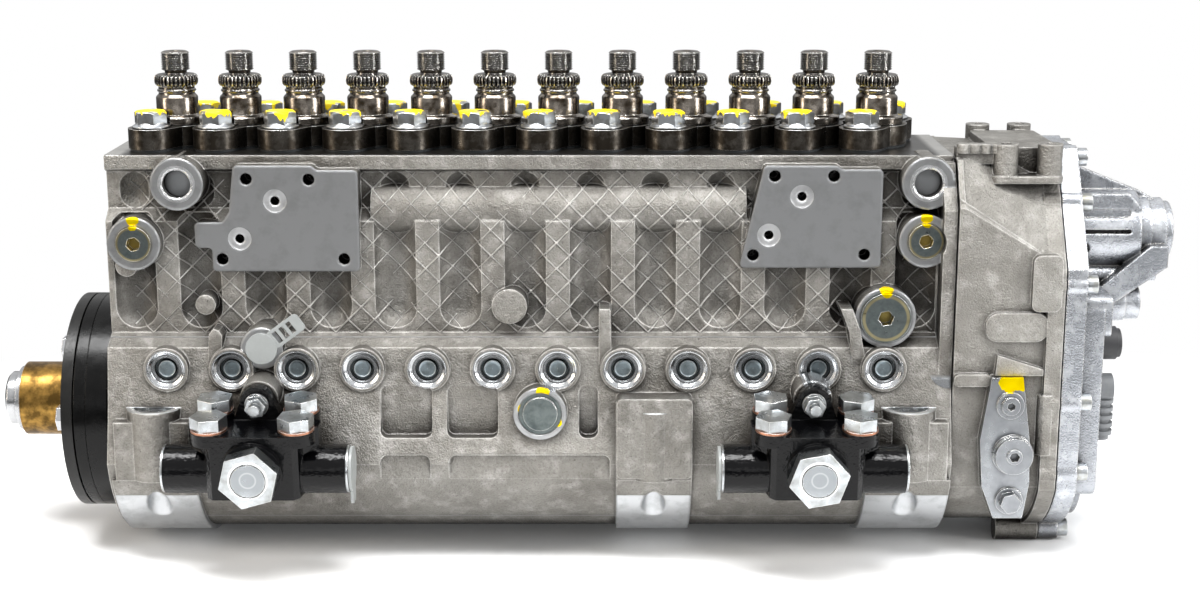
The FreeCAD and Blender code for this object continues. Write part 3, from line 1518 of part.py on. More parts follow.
def governor_front(body):
    half = d.governor_half
    x = governor_left
    sketch = sketch_on(body, "XZ_Plane", "block", half + 4)
    rounded_box(sketch, x + 40, as_size(66), x + 56, as_size(97), as_size(4))
    pad(body, sketch, 8, back=True)
    sketch = sketch_on(body, "XZ_Plane", "oblong", half + 2.5)
    rounded_box(sketch, x + 16, as_size(49), x + 50, as_size(65), as_size(7))
    pad(body, sketch, 6, back=True)
    sketch = sketch_on(body, "XZ_Plane", "belt", half + 3)
    rounded_box(sketch, x, as_size(24), x + 20, as_size(31), as_size(3))
    pad(body, sketch, 6, back=True)
    sketch = sketch_on(body, "XZ_Plane", "gable", half + 4)
    outline(sketch, [(x + 22, 30.5), (x + 23, 42), (x + 48, 34), (x + 48, 30.5)])
    pad(body, sketch, 8, back=True)
    sketch = sketch_on(body, "XZ_Plane", "roof", half - 1)
    outline(sketch, [(x, 127), (x + 54, 92), (x + 54, 60), (x, 60)])
    pad(body, sketch, 4, back=True)
    sketch = sketch_on(body, "XZ_Plane", "plate_seat", half + 3)
    outline(sketch, SIDE_PLATE)
    pad(body, sketch, 8, back=True)
    disc(body, "XY_Plane", "pillar", -15, x + 51, -half + 1, 5, 34)
    for k, (y, z, length) in enumerate(((-22, -71, 24), (22, -71, 24))):
        disc(body, "YZ_Plane", f"lug_{k}", governor_right - length, y, z, 7, length)


SIDE_PLATE = [
    (governor_left + 20, 30), (governor_left + 15, -5), (governor_left + 17, -32), (governor_left + 24, -50),
    (governor_left + 40, -50), (governor_left + 43, -30), (governor_left + 42, -5), (governor_left + 37, 30),
]
COVER_SCREWS = ((-19, 143.5), (19, 143.5), (-35.4, 121), (35.4, 121), (-57.5, 80), (57.5, 80), (-57.5, 14),
                (57.5, 14), (-57.5, -26), (57.5, -26), (-22, -71), (22, -71))


def governor_gasket():
    body = new_body("governor_gasket")
    sketch = sketch_on(body, "YZ_Plane", "gasket", housing_right)
    outline(sketch, [(36, 140), (-36, 140), (-38, 60), (-56, 20), (-56, -30), (-40, -54), (40, -54), (56, -30),
                     (56, 20), (38, 60)])
    box_outline(sketch, 10, 82, 33, 108)
    circle(sketch, 0, 0, 37)
    pad(body, sketch, d.gasket_thick)
    return body


def cover_gasket():
    body = new_body("cover_gasket")
    sketch = sketch_on(body, "YZ_Plane", "gasket", governor_right)
    governor_outline(sketch, -2)
    governor_outline(sketch, d.governor_wall)
    pad(body, sketch, d.gasket_thick)
    for k, (y, z) in enumerate(COVER_SCREWS[:-2]):
        hole(body, "YZ_Plane", f"screw_hole_{k}", governor_right - 1, y, z, 3.3, d.gasket_thick + 2)
    return body


def governor_cover():
    left, right = cover_left, cover_right
    body = new_body("cover_plate")
    sketch = sketch_on(body, "YZ_Plane", "flange", left)
    governor_outline(sketch, -3)
    pad(body, sketch, d.cover_flange)
    for k, (y, z) in enumerate(COVER_SCREWS):
        disc(body, "YZ_Plane", f"screw_boss_{k}", left, y, z, 6.5, d.cover_flange)
    sketch = sketch_on(body, "YZ_Plane", "lower_block", right - 1)
    rounded_box(sketch, as_size(-50), as_size(-44), as_size(50), as_size(70), as_size(9))
    pad(body, sketch, 15)
    disc(body, "YZ_Plane", "foot_round", right - 1, 0, -30, 38, 11)
    raised = new_body("cover_raised")
    cover_solenoid(raised)
    cover_sockets(raised)
    tools = new_body("cover_tools")
    disc(tools, "YZ_Plane", "coil_bore", right + 1, solenoid_y, d.rack_z, 17, 40)
    disc(tools, "YZ_Plane", "armature_bore", left - 1, solenoid_y, d.rack_z, d.armature_r + 0.6, 20)
    disc(tools, "YZ_Plane", "nozzle_bore", right + 48, 8, 55.3, 6, 12, back=True)
    solenoid_grooves(tools)
    for k, (y, z) in enumerate(COVER_SCREWS):
        disc(tools, "YZ_Plane", f"screw_hole_{k}", left - 1, y, z, 3.3, d.cover_flange + 2)
    return cut_from("governor_cover", fused("cover_cast", [body, raised]), tools)


def cover_solenoid(body):
    # The case steps down twice to its cap, with a rib above it and a leaning rib below.
    right = cover_right
    y, z = solenoid_y, d.rack_z
    disc(body, "YZ_Plane", "solenoid_case", right - 1, y, z, 24, 46)
    disc(body, "YZ_Plane", "solenoid_neck", right + 44, y, z, d.solenoid_r, d.solenoid_out - 44)
    disc(body, "YZ_Plane", "solenoid_cap", right + d.solenoid_out - 1, y, z, d.solenoid_cap_r, 10)
    disc(body, "YZ_Plane", "solenoid_end", right + d.solenoid_out + 8, y, z, d.solenoid_cap_r - 2, 5)
    sketch = sketch_on(body, "XZ_Plane", "case_top", -2)
    outline(sketch, [(right - 1, z), (right + 45, z), (right + 45, z + 16), (right + 38, z + 24),
                     (right - 1, z + 24)])
    pad(body, sketch, 28, back=True)
    sketch = sketch_on(body, "XZ_Plane", "upper_rib", -solenoid_y + 3)
    outline(sketch, [(right - 1, 136), (right + 3, 136), (right + 48, 118), (right + 61, 111),
                     (right + 61, 100), (right - 1, 100)])
    pad(body, sketch, 6, back=True)
    sketch = sketch_on(body, "XZ_Plane", "leaning_rib", 4)
    outline(sketch, [(right + 12, 48), (right + 18, 48), (right + 60, 78), (right + 60, 90),
                     (right + 50, 90), (right + 12, 57)])
    pad(body, sketch, 8, back=True)
    disc(body, "YZ_Plane", "short_pipe", right, 8, 71.5, 5.4, 41)
    disc(body, "YZ_Plane", "long_pipe", right, y, 70, 5.4, 60)


def solenoid_grooves(body):
    right = cover_right
    for k, (z, height, length) in enumerate(((107.8, 5, 39), (98, 2.4, 39), (88, 7, 16))):
        sketch = sketch_on(body, "XZ_Plane", f"groove_{k}", 4)
        rounded_box(sketch, right + 1, as_size(z - height / 2), right + length, as_size(z + height / 2),
                    as_size(height * 0.45))
        pad(body, sketch, 6.5, back=True)


def cover_sockets(body):
    # A raised block with the fuel nozzle, and the seats of the plug and the boot below it.
    right = cover_right
    sketch = sketch_on(body, "YZ_Plane", "upper_block", right)
    rounded_box(sketch, as_size(-49), as_size(48), as_size(40), as_size(71), as_size(4))
    pad(body, sketch, 18)
    disc(body, "YZ_Plane", "nozzle", right, 8, 55.3, 10, 46.5)
    disc(body, "YZ_Plane", "nozzle_ring", right, 8, 55.3, 11, 38)
    disc(body, "YZ_Plane", "plug_seat", right, -20, 38, 8, 16)
    disc(body, "YZ_Plane", "boot_seat", right, -20, 12, 7, 15.5)


def solenoid_coil():
    body = new_body("solenoid_coil")
    tube(body, "YZ_Plane", "winding", cover_right + 1, solenoid_y, d.rack_z, 16.95, d.armature_r + 0.3, 36)
    return body


def cover_screws():
    body = new_body("cover_screws")
    for k, (y, z) in enumerate(COVER_SCREWS):
        disc(body, "YZ_Plane", f"shank_{k}", governor_right - 6, y, z, 3, cover_right - governor_right + 6)
        disc(body, "YZ_Plane", f"head_{k}", cover_right, y, z, 5, 6)
    for k, (y, z) in enumerate(COVER_SCREWS):
        sketch = sketch_on(body, "YZ_Plane", f"socket_{k}", cover_right + 2.5)
        hexagon(sketch, y, z, 5, 11 * k)
        cut(body, sketch, 5)
    return body


def side_plate():
    body = new_body("plate")
    sketch = sketch_on(body, "XZ_Plane", "plate", d.governor_half + 3)
    outline(sketch, SIDE_PLATE)
    pad(body, sketch, 3)
    return body


def side_plugs():
    body = new_body("plate_plugs")
    face = d.governor_half + 6
    x = governor_left + 32
    disc(body, "XZ_Plane", "upper_washer", face, x - 1.5, 14.5, 7.5, 1.8)
    disc(body, "XZ_Plane", "upper_button", face + 1.8, x - 1.5, 14.5, 5, 1.6)
    disc(body, "XZ_Plane", "middle_washer", face, x + 1, -13.2, 11, 2.4)
    disc(body, "XZ_Plane", "middle_disc", face + 2.4, x + 1, -13.2, 10.2, 3)
    disc(body, "XZ_Plane", "middle_button", face + 5.4, x + 1, -13.2, 4.2, 1)
    disc(body, "XZ_Plane", "lower_flange", face, x, -39.6, 7.5, 2)
    sketch = sketch_on(body, "XZ_Plane", "lower_hex", face + 2)
    hexagon(sketch, x, -39.6, 10, 12)
    pad(body, sketch, 5)
    sketch = sketch_on(body, "XZ_Plane", "upper_socket", face + 4)
    hexagon(sketch, x - 1.5, 14.5, 4, 20)
    cut(body, sketch, 2.8, back=True)
    sketch = sketch_on(body, "XZ_Plane", "middle_socket", face + 7)
    hexagon(sketch, x + 1, -13.2, 5, 5)
    cut(body, sketch, 3.6, back=True)
    return body


def cable_connectors():
    # A plug connector, and an elbow boot whose bellows point down.
    body = new_body("cable_connectors")
    right = cover_right
    disc(body, "YZ_Plane", "plug", right + 16, -20, 38, 9.4, 12)
    disc(body, "YZ_Plane", "plug_end", right + 28, -20, 38, 8.2, 2.2)
    disc(body, "YZ_Plane", "boot_collar", right + 15.5, -20, 12, 9.6, 3)
    disc(body, "YZ_Plane", "boot_elbow", right + 18.5, -20, 12, 8, 9)
    x = right + 22.6
    disc(body, "XY_Plane", "boot_neck", -18, x, -20, 5, 30)
    for k in range(5):
        disc(body, "XY_Plane", f"bellow_{k}", -15 + 4.6 * k, x, -20, 6.8, 2.4)
    hole(body, "XY_Plane", "boot_mouth", -19, x, -20, 3.4, 6)
    return body


# Groups, checks and files

def group(label, items):
    whole = doc.addObject("Part::Compound", label)
    whole.Label = label
    whole.Links = items
    return whole


def element_places():
    return [(float(d.first_element + d.pitch * k), 0, 0) for k in range(ELEMENTS)]


def repeated(label, *masters):
    # The same pieces at every element, as one group of separate solids.
    solids = []
    for place_at in element_places():
        for master in masters:
            solids += [solid.translated(Vector(*place_at)) for solid in master.Shape.Solids]
    whole = doc.addObject("Part::Feature", label)
    whole.Label = label
    whole.Shape = Part.Compound(solids)
    return whole


def single_nodes():
    nodes = [
        pump_housing(), bearing_end_plate(), bearing_cups(), shaft_seal(), camshaft(), coupling_sleeve(),
        shaft_nut(), damper_plate(), vibration_damper(), hub_screws(), speed_wheel(), control_rack(),
        rack_guides(), port_plugs(), governor_housing(), governor_cover(), solenoid_coil(),
        cable_connectors(),
    ]
    for name, master in (("tappet", tappet()), ("control_sleeve", control_sleeve())):
        for k in range(ELEMENTS):
            node = group(f"{name}_{k + 1:02d}", [master])
            place(node, d.first_element + d.pitch * k)
            nodes.append(node)
    nodes += [feed_piston(side) for side in FEED_SIDES]
    nodes += [
        group("bearing_inner_rings", [bearing_cones(), bearing_rollers()]),
        group("housing_screws", [end_plate_screws(), cover_screws()]),
        group("gallery_plugs", [core_plugs(), socket_plugs(), large_plug(), round_plug()]),
        group("dust_caps", [strap_cap(), feed_port_caps()]),
        group("feed_pump_bodies", [feed_pump(side) for side in FEED_SIDES]),
        group("feed_pump_fittings", [feed_piston_plugs(), feed_valve_plugs(), feed_port_rings(),
                                     feed_studs(), feed_nuts()]),
        group("feed_pump_washers", [feed_valve_washers()]),
        group("side_plate", [side_plate(), side_plugs()]),
    ]
    return nodes


def repeated_nodes():
    masters = [element_bush(), flange_shim(), flange_bolt(), flange_washer(), plunger_barrel(),
               upper_spring_seat(), plunger_spring(), delivery_valve_holder(), delivery_valve()]
    feed_springs = [feed_spring(side) for side in FEED_SIDES]
    end_gaskets = [governor_gasket(), cover_gasket()]
    doc.recompute()
    bush, shim, bolt, washer, barrel, seat, spring, holder, valve = masters
    return [
        repeated("element_bushes", bush),
        repeated("flange_bolts", bolt, washer),
        repeated("plunger_barrels", barrel),
        repeated("upper_spring_seats", seat),
        repeated("delivery_valve_holders", holder),
        repeated("delivery_valves", valve),
        group("return_springs", [repeated("plunger_spring_row", spring)] + feed_springs),
        group("gaskets", [repeated("flange_shim_row", shim)] + end_gaskets),
    ]


def check_features():
    # Every object is free of errors, and every cut has removed material.
    for item in doc.Objects:
        if "Invalid" in item.State or "Error" in item.State:
            raise SystemExit(f"{item.Label} did not build")
    for body in doc.findObjects("PartDesign::Body"):
        volume = 0.0
        for feature in body.Group:
            if not feature.isDerivedFrom("PartDesign::Feature"):
                continue
            after = feature.Shape.Volume
            removes = feature.TypeId in ("PartDesign::Pocket", "PartDesign::Groove")
            if removes and after > volume - 0.01:
                raise SystemExit(f"{body.Label}: {feature.Label} removed nothing")
            volume = after


def write_nodes(nodes):
    os.makedirs("parts", exist_ok=True)
    for node in nodes:
        shape = node.Shape
        if shape.isNull() or not shape.isValid():
            raise SystemExit(f"{node.Label} is not a valid shape")
        shape.exportStep(f"parts/{node.Label}.step")
        box = shape.BoundBox
        print(f"{node.Label:26s} {len(shape.Solids):3d} solids {shape.Volume / 1000:9.1f} cm3"
              f"  x {box.XMin:.1f}..{box.XMax:.1f}  y {box.YMin:.1f}..{box.YMax:.1f}"
              f"  z {box.ZMin:.1f}..{box.ZMax:.1f}")


def build():
    nodes = single_nodes() + repeated_nodes()
    doc.recompute()
    check_features()
    write_nodes(nodes)


build()
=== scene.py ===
# Studio picture of a twelve-cylinder in-line diesel injection pump.
# Sizes are millimetres, times mm for Blender's metres; those of the studio are metres.
# +X runs to the actuator end, +Z is up, the camera looks along +Y.
import math
import bpy
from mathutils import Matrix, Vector


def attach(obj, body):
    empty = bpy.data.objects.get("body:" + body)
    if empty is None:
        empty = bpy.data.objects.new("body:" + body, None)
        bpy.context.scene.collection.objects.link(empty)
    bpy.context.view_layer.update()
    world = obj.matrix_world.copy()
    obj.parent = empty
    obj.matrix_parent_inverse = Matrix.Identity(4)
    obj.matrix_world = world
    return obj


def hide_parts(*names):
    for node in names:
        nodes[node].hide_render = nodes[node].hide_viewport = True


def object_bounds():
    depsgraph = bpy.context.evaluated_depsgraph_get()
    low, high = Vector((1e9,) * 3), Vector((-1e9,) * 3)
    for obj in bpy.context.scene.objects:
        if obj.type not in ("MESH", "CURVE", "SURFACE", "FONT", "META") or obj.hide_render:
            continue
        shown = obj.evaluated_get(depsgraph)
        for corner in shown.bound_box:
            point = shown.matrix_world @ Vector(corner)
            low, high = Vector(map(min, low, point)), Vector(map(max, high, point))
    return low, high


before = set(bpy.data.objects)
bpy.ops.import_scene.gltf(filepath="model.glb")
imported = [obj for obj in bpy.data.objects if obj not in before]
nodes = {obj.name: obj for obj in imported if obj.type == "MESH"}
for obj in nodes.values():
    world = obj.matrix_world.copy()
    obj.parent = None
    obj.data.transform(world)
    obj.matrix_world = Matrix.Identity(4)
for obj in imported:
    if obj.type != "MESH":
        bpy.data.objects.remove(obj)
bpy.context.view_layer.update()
mm = 0.001
scene = bpy.context.scene
row = {"first": 77.5, "pitch": 35.5, "count": 12}   # the pump elements along X


# Colours and shader helpers

mapRange = "ShaderNodeMapRange"   # inputs: value, from low, from high, to low, to high

def linear(hexColour):
    # sRGB hex to the linear values that shader sockets take
    values = [int(hexColour[i:i + 2], 16) / 255 for i in (1, 3, 5)]
    return [v / 12.92 if v <= 0.04045 else ((v + 0.055) / 1.055) ** 2.4 for v in values] + [1.0]


def add(tree, kind, settings=None, inputs=None):
    # One node with its settings; an input is a value or the socket that feeds it. Gives its outputs.
    node = tree.nodes.new(kind)
    for name, value in (settings or {}).items():
        setattr(node, name, value)
    for name, value in (inputs or {}).items():
        if isinstance(value, bpy.types.NodeSocket):
            tree.links.new(value, node.inputs[name])
        else:
            node.inputs[name].default_value = value
    return node.outputs


def newMaterial(name, **surface):
    # A material with its tree, its shader and its coordinates; what is constant sits on the shader.
    material = bpy.data.materials.new(name)
    material.use_nodes = True
    tree = material.node_tree
    shader = tree.nodes["Principled BSDF"]
    for socket, value in surface.items():
        shader.inputs[socket.replace("_", " ")].default_value = value
    coords = add(tree, "ShaderNodeTexCoord")["Object"]
    return material, tree, shader, coords


def combined(tree, way, values):
    # Folds several values into one: their product, sum, difference, lowest or highest.
    total = values[0]
    for value in values[1:]:
        total = add(tree, "ShaderNodeMath", {"operation": way}, {0: total, 1: value})[0]
    return total


def layered(tree, colour, layers):
    # Lays colours over one another, each through its mask.
    for mask, over in layers:
        over = linear(over) if isinstance(over, str) else over
        colour = add(tree, "ShaderNodeMix", {"data_type": "RGBA"}, {0: mask, 6: colour, 7: over})[2]
    return colour


def patches(tree, coords, size, low=0.0, high=1.0, amount=1.0, detail=4.0, stretch=(1, 1, 1)):
    # Uneven patches about size millimetres across; a narrow low to high gives them hard edges.
    placed = add(tree, "ShaderNodeMapping", {}, {"Vector": coords, "Scale": stretch})[0]
    spread = add(tree, "ShaderNodeTexNoise", {}, {
        "Vector": placed, "Scale": 1 / (size * mm), "Detail": detail, "Roughness": 0.62})["Fac"]
    return add(tree, mapRange, {}, {0: spread, 1: low, 2: high, 3: 0.0, 4: amount})[0]


def relief(tree, shader, edge, heights):
    # Shades sharp edges as small rounds, then lays bumps over them: each a height and its depth.
    normal = add(tree, "ShaderNodeBevel", {"samples": 4}, {"Radius": edge * mm})["Normal"]
    for height, depth in heights:
        normal = add(tree, "ShaderNodeBump", {}, {
            "Height": height, "Distance": depth * mm, "Normal": normal})[0]
    tree.links.new(normal, shader.inputs["Normal"])


def wornEdge(tree, radius):
    # Bright where the surface turns within the radius, dark on the flat.
    soft = add(tree, "ShaderNodeBevel", {"samples": 4}, {"Radius": radius * mm})["Normal"]
    hard = add(tree, "ShaderNodeNewGeometry")["Normal"]
    alike = add(tree, "ShaderNodeVectorMath", {"operation": "DOT_PRODUCT"}, {0: soft, 1: hard})["Value"]
    return add(tree, mapRange, {}, {0: alike, 1: 0.995, 2: 0.90})[0]


def cornerShade(tree, distance):
    # A mask that is one in inner corners and nought in the open, for painted shade there.
    openness = add(tree, "ShaderNodeAmbientOcclusion", {"samples": 8}, {"Distance": distance * mm})["AO"]
    return add(tree, mapRange, {}, {0: openness, 1: 0.85, 2: 0.25})[0]


def atPlace(tree, value, at, reach=0.2):
    # One where a value lies within reach of a place, nought beyond.
    offset = combined(tree, "SUBTRACT", (value, at * mm))
    away = add(tree, "ShaderNodeMath", {"operation": "ABSOLUTE"}, {0: offset})[0]
    return add(tree, mapRange, {}, {0: away, 1: reach * 1.3 * mm, 2: reach * mm})[0]


def between(tree, value, low, high, soft=0.15):
    # One where a value lies from low to high, with soft ends.
    above = add(tree, mapRange, {}, {0: value, 1: (low - soft) * mm, 2: low * mm})[0]
    below = add(tree, mapRange, {}, {0: value, 1: (high + soft) * mm, 2: high * mm})[0]
    return combined(tree, "MULTIPLY", (above, below))


def distanceFrom(tree, coords, at, keep=(1, 0, 1)):
    # Distance from a point, or from a line through it along the axis that isn't kept.
    place = [v * mm for v in at]
    offset = add(tree, "ShaderNodeVectorMath", {"operation": "SUBTRACT"}, {0: coords, 1: place})[0]
    flat = add(tree, "ShaderNodeVectorMath", {"operation": "MULTIPLY"}, {0: offset, 1: keep})[0]
    return add(tree, "ShaderNodeVectorMath", {"operation": "LENGTH"}, {0: flat})["Value"]


def distanceInRow(tree, along, aside):
    # Distance from the nearest element's line, where aside is the offset across the row.
    pitch = row["pitch"] * mm
    start = combined(tree, "SUBTRACT", (along, row["first"] * mm - pitch / 2))
    across = combined(tree, "SUBTRACT", (combined(tree, "MODULO", (start, pitch)), pitch / 2))
    offset = add(tree, "ShaderNodeCombineXYZ", {}, {"X": across, "Y": aside})[0]
    return add(tree, "ShaderNodeVectorMath", {"operation": "LENGTH"}, {0: offset})["Value"]


def paintDabs(tree, coords, dabs):
    # Uneven spots of brushed inspection paint: each dab is a place, a radius and a colour.
    layers = []
    ragged = patches(tree, coords, 4.0, detail=3.0)
    for at, radius, paint in dabs:
        away = distanceFrom(tree, coords, at, (1, 1, 1))
        reach = combined(tree, "MULTIPLY", (ragged, radius * 0.9 * mm))
        edge = combined(tree, "ADD", (away, reach))
        rim = radius * 1.45
        inside = add(tree, mapRange, {}, {0: edge, 1: (rim + 0.1) * mm, 2: rim * mm})[0]
        layers.append((inside, paint))
    return layers


# Materials

def castMetal(name, base, dark, bright, grain, oil, milled=None, dabs=(), roughFrom=0.34, roughTo=0.54):
    # Cast aluminium: a pebbled skin, bright worn edges and painted dark shade in the corners. Sand grains
    # are drawn about 1 mm across, so that they show.
    # milled gives masks of the faces that a cutter has left flat, with their colour and roughness.
    material, tree, shader, coords = newMaterial(name, Metallic=0.85)
    patch = patches(tree, coords, 9.0, 0.3, 0.7, detail=5.0)
    pebble = patches(tree, coords, 1.0, 0.2, 0.8, detail=3.0)
    wearing = add(tree, mapRange, {}, {0: patch, 1: 0.0, 2: 0.8, 3: 0.3, 4: 0.7})[0]
    worn = combined(tree, "MULTIPLY", (wornEdge(tree, 1.1), wearing))
    # Painted shade: oily is where the inner corners turn dark brown, and oil says how strongly.
    oily = combined(tree, "MULTIPLY", (cornerShade(tree, 24), oil))
    colour = layered(tree, linear(base), (
        (patches(tree, coords, 38.0, 0.4, 0.7, 0.6, 5.0), dark),
        (add(tree, mapRange, {}, {0: patch, 1: 0.5, 2: 1.0, 3: 0, 4: 0.5})[0], bright),
        (add(tree, mapRange, {}, {0: pebble, 1: 0.5, 2: 0.15, 3: 0, 4: 0.4})[0], dark),
        (patches(tree, coords, 1.3, 0.64, 0.70, 0.7, 3.0), "#3e3a35"),
        (oily, "#1f1b17"),
        (worn, "#dcdad6"),
    ))
    rough = add(tree, mapRange, {}, {0: patch, 1: 0.0, 2: 1.0, 3: roughFrom, 4: roughTo})[0]
    skin = None
    for mask, tint, shine in (milled(tree, coords) if milled else ()):
        colour = layered(tree, colour, ((mask, tint),))
        rough = layered(tree, rough, ((mask, (shine, shine, shine, 1)),))
        skin = combined(tree, "MAXIMUM", (skin, mask)) if skin else mask
    if skin:
        stained = add(tree, mapRange, {}, {0: patch, 1: 0.45, 2: 1.0, 3: 0, 4: 0.4})[0]
        colour = layered(tree, colour, ((combined(tree, "MULTIPLY", (stained, skin)), "#6a6b6b"),))
    colour = layered(tree, colour, paintDabs(tree, coords, dabs))
    tree.links.new(colour, shader.inputs["Base Color"])
    tree.links.new(rough, shader.inputs["Roughness"])
    lumps = patches(tree, coords, 6.5, detail=4.0)
    if skin:
        uncut = combined(tree, "SUBTRACT", (1.0, skin))
        pebble = combined(tree, "MULTIPLY", (pebble, uncut))
        lumps = combined(tree, "MULTIPLY", (lumps, uncut))
    relief(tree, shader, 2.2, ((lumps, grain * 2.4), (pebble, grain * 1.2)))
    return material


def machined(name, colour, rough=0.32, stain=None, stainShare=0.3, ringsAlong=None, dabs=(), extra=None,
             edge=0.5):
    # Turned or milled metal: tool lines, drawn coarse enough to show, a little grime, painted shade in the
    # corners and worn edges.
    material, tree, shader, coords = newMaterial(name, Metallic=1.0)
    patch = patches(tree, coords, 7.0, detail=5.0)
    layers = []
    if stain:
        stained = add(tree, mapRange, {}, {0: patch, 1: 0.62 - stainShare, 2: 0.9 - stainShare})[0]
        layers.append((stained, stain))
    if extra:
        layers += extra(tree, coords)
    # Painted shade in the inner corners.
    layers.append((combined(tree, "MULTIPLY", (cornerShade(tree, 5), 0.8)), "#12100e"))
    layers.append((combined(tree, "MULTIPLY", (wornEdge(tree, 0.5), 0.7)), "#f0f0ee"))
    layers += paintDabs(tree, coords, dabs)
    tree.links.new(layered(tree, linear(colour), layers), shader.inputs["Base Color"])
    uneven = add(tree, mapRange, {}, {0: patch, 1: 0.3, 2: 0.7, 3: rough - 0.08, 4: rough + 0.1})[0]
    tree.links.new(uneven, shader.inputs["Roughness"])
    stretch = {"x": (20, 1, 1), "y": (1, 20, 1), "z": (1, 1, 20)}.get(ringsAlong, (1, 1, 1))
    lines = patches(tree, coords, 3.8, detail=2.0, stretch=stretch)
    relief(tree, shader, edge, ((lines, 0.035),))
    return material


def coated(name, colour, rough=0.5, speckle=None, dabs=(), peel=0.06, gloss=0.5, extra=None):
    # Paint, rubber or moulded plastic: rounded edges, an uneven gloss and a faint orange peel.
    material, tree, shader, coords = newMaterial(name, Specular_IOR_Level=gloss)
    patch = patches(tree, coords, 8.0)
    speckled = add(tree, mapRange, {}, {0: patch, 1: 0.4, 2: 0.75, 3: 0, 4: 0.35})[0]
    layers = [(speckled, speckle or colour)]
    if extra:
        layers += extra(tree, coords)
    layers += paintDabs(tree, coords, dabs)
    tree.links.new(layered(tree, linear(colour), layers), shader.inputs["Base Color"])
    uneven = add(tree, mapRange, {}, {0: patch, 1: 0.3, 2: 0.7, 3: rough - 0.06, 4: rough + 0.08})[0]
    tree.links.new(uneven, shader.inputs["Roughness"])
    relief(tree, shader, 0.6, ((patches(tree, coords, 2.4, detail=2.0), peel),))
    return material


def paintedZinc(name, top, drip):
    # Zinc plate with a dab of yellow paint on each head that has run down one side.
    material, tree, shader, coords = newMaterial(name)
    flat = add(tree, "ShaderNodeVectorMath", {"operation": "MULTIPLY"}, {0: coords, 1: (1, 1, 0)})[0]
    length = patches(tree, flat, 6.6, 0.5, 0.72, drip * mm, 2.0)
    edge = combined(tree, "SUBTRACT", (top * mm, length))
    below = combined(tree, "SUBTRACT", (add(tree, "ShaderNodeSeparateXYZ", {}, {0: coords})["Z"], edge))
    dab = patches(tree, flat, 11.0, 0.40, 0.43, detail=3.0)
    ahead = add(tree, mapRange, {}, {0: below, 1: 0.0, 2: 0.15 * mm})[0]
    covered = combined(tree, "MULTIPLY", (ahead, dab))
    colour = layered(tree, linear("#c3c7cb"), (
        (patches(tree, coords, 7.0, 0.45, 0.75, detail=5.0), "#8d8c84"),
        # Painted shade in the inner corners.
        (combined(tree, "MULTIPLY", (cornerShade(tree, 4), 0.8)), "#15120f"),
        (combined(tree, "MULTIPLY", (wornEdge(tree, 0.5), 0.7)), "#f2f3f3"),
        (covered, yellow),
    ))
    tree.links.new(colour, shader.inputs["Base Color"])
    tree.links.new(combined(tree, "SUBTRACT", (1.0, covered)), shader.inputs["Metallic"])
    rough = add(tree, mapRange, {}, {0: covered, 1: 0, 2: 1, 3: 0.28, 4: 0.45})[0]
    tree.links.new(rough, shader.inputs["Roughness"])
    relief(tree, shader, 0.5, ((covered, 0.25),))
    return material


yellow, blue = "#f7d800", "#0a3fb5"
milledFaces = {
    # the last two give where the deck is painted with shade under the flanges
    "pads": 47.5, "pad_rings": 47.2, "deck": 147.5, "deck_shade_x": (56, 495), "deck_shade_y": (-38, 38),
    # ports: height, mouth, the faces they start and end at, and the ring between plug and seat that is
    # painted dark as shade
    "port_z": 33.0, "port_r": 10.6, "port_from": 58.5, "port_floor": 60.4, "plug_r": 6.4, "seat_r": 8.4,
    # cradle feet: where they begin and end along X, and the line that the cutter stopped at
    "feet": ((47, 93), (322.5, 363.5), (459, 505)), "foot_z": -37.0,
    "columns": (70, 343, 482), "column_y": 60, "column_top": 12.0, "column_r": 15.0, "sink_r": 12.5,
    "sink_depth": 9,
    # x, z, radius and depth of each boss face; x, z and radius of each bore
    "bosses": (
        (86, 133.5, 15, 51), (490, 134, 15, 51), (61.5, 101, 15, 52), (489.5, 102.5, 15, 52),
        (468.6, 61, 17, 56), (281, 10.5, 15, 69), (130, 45, 12, 60)),
    "bores": ((86, 133.5, 7.6), (490, 134, 7.6)),
}


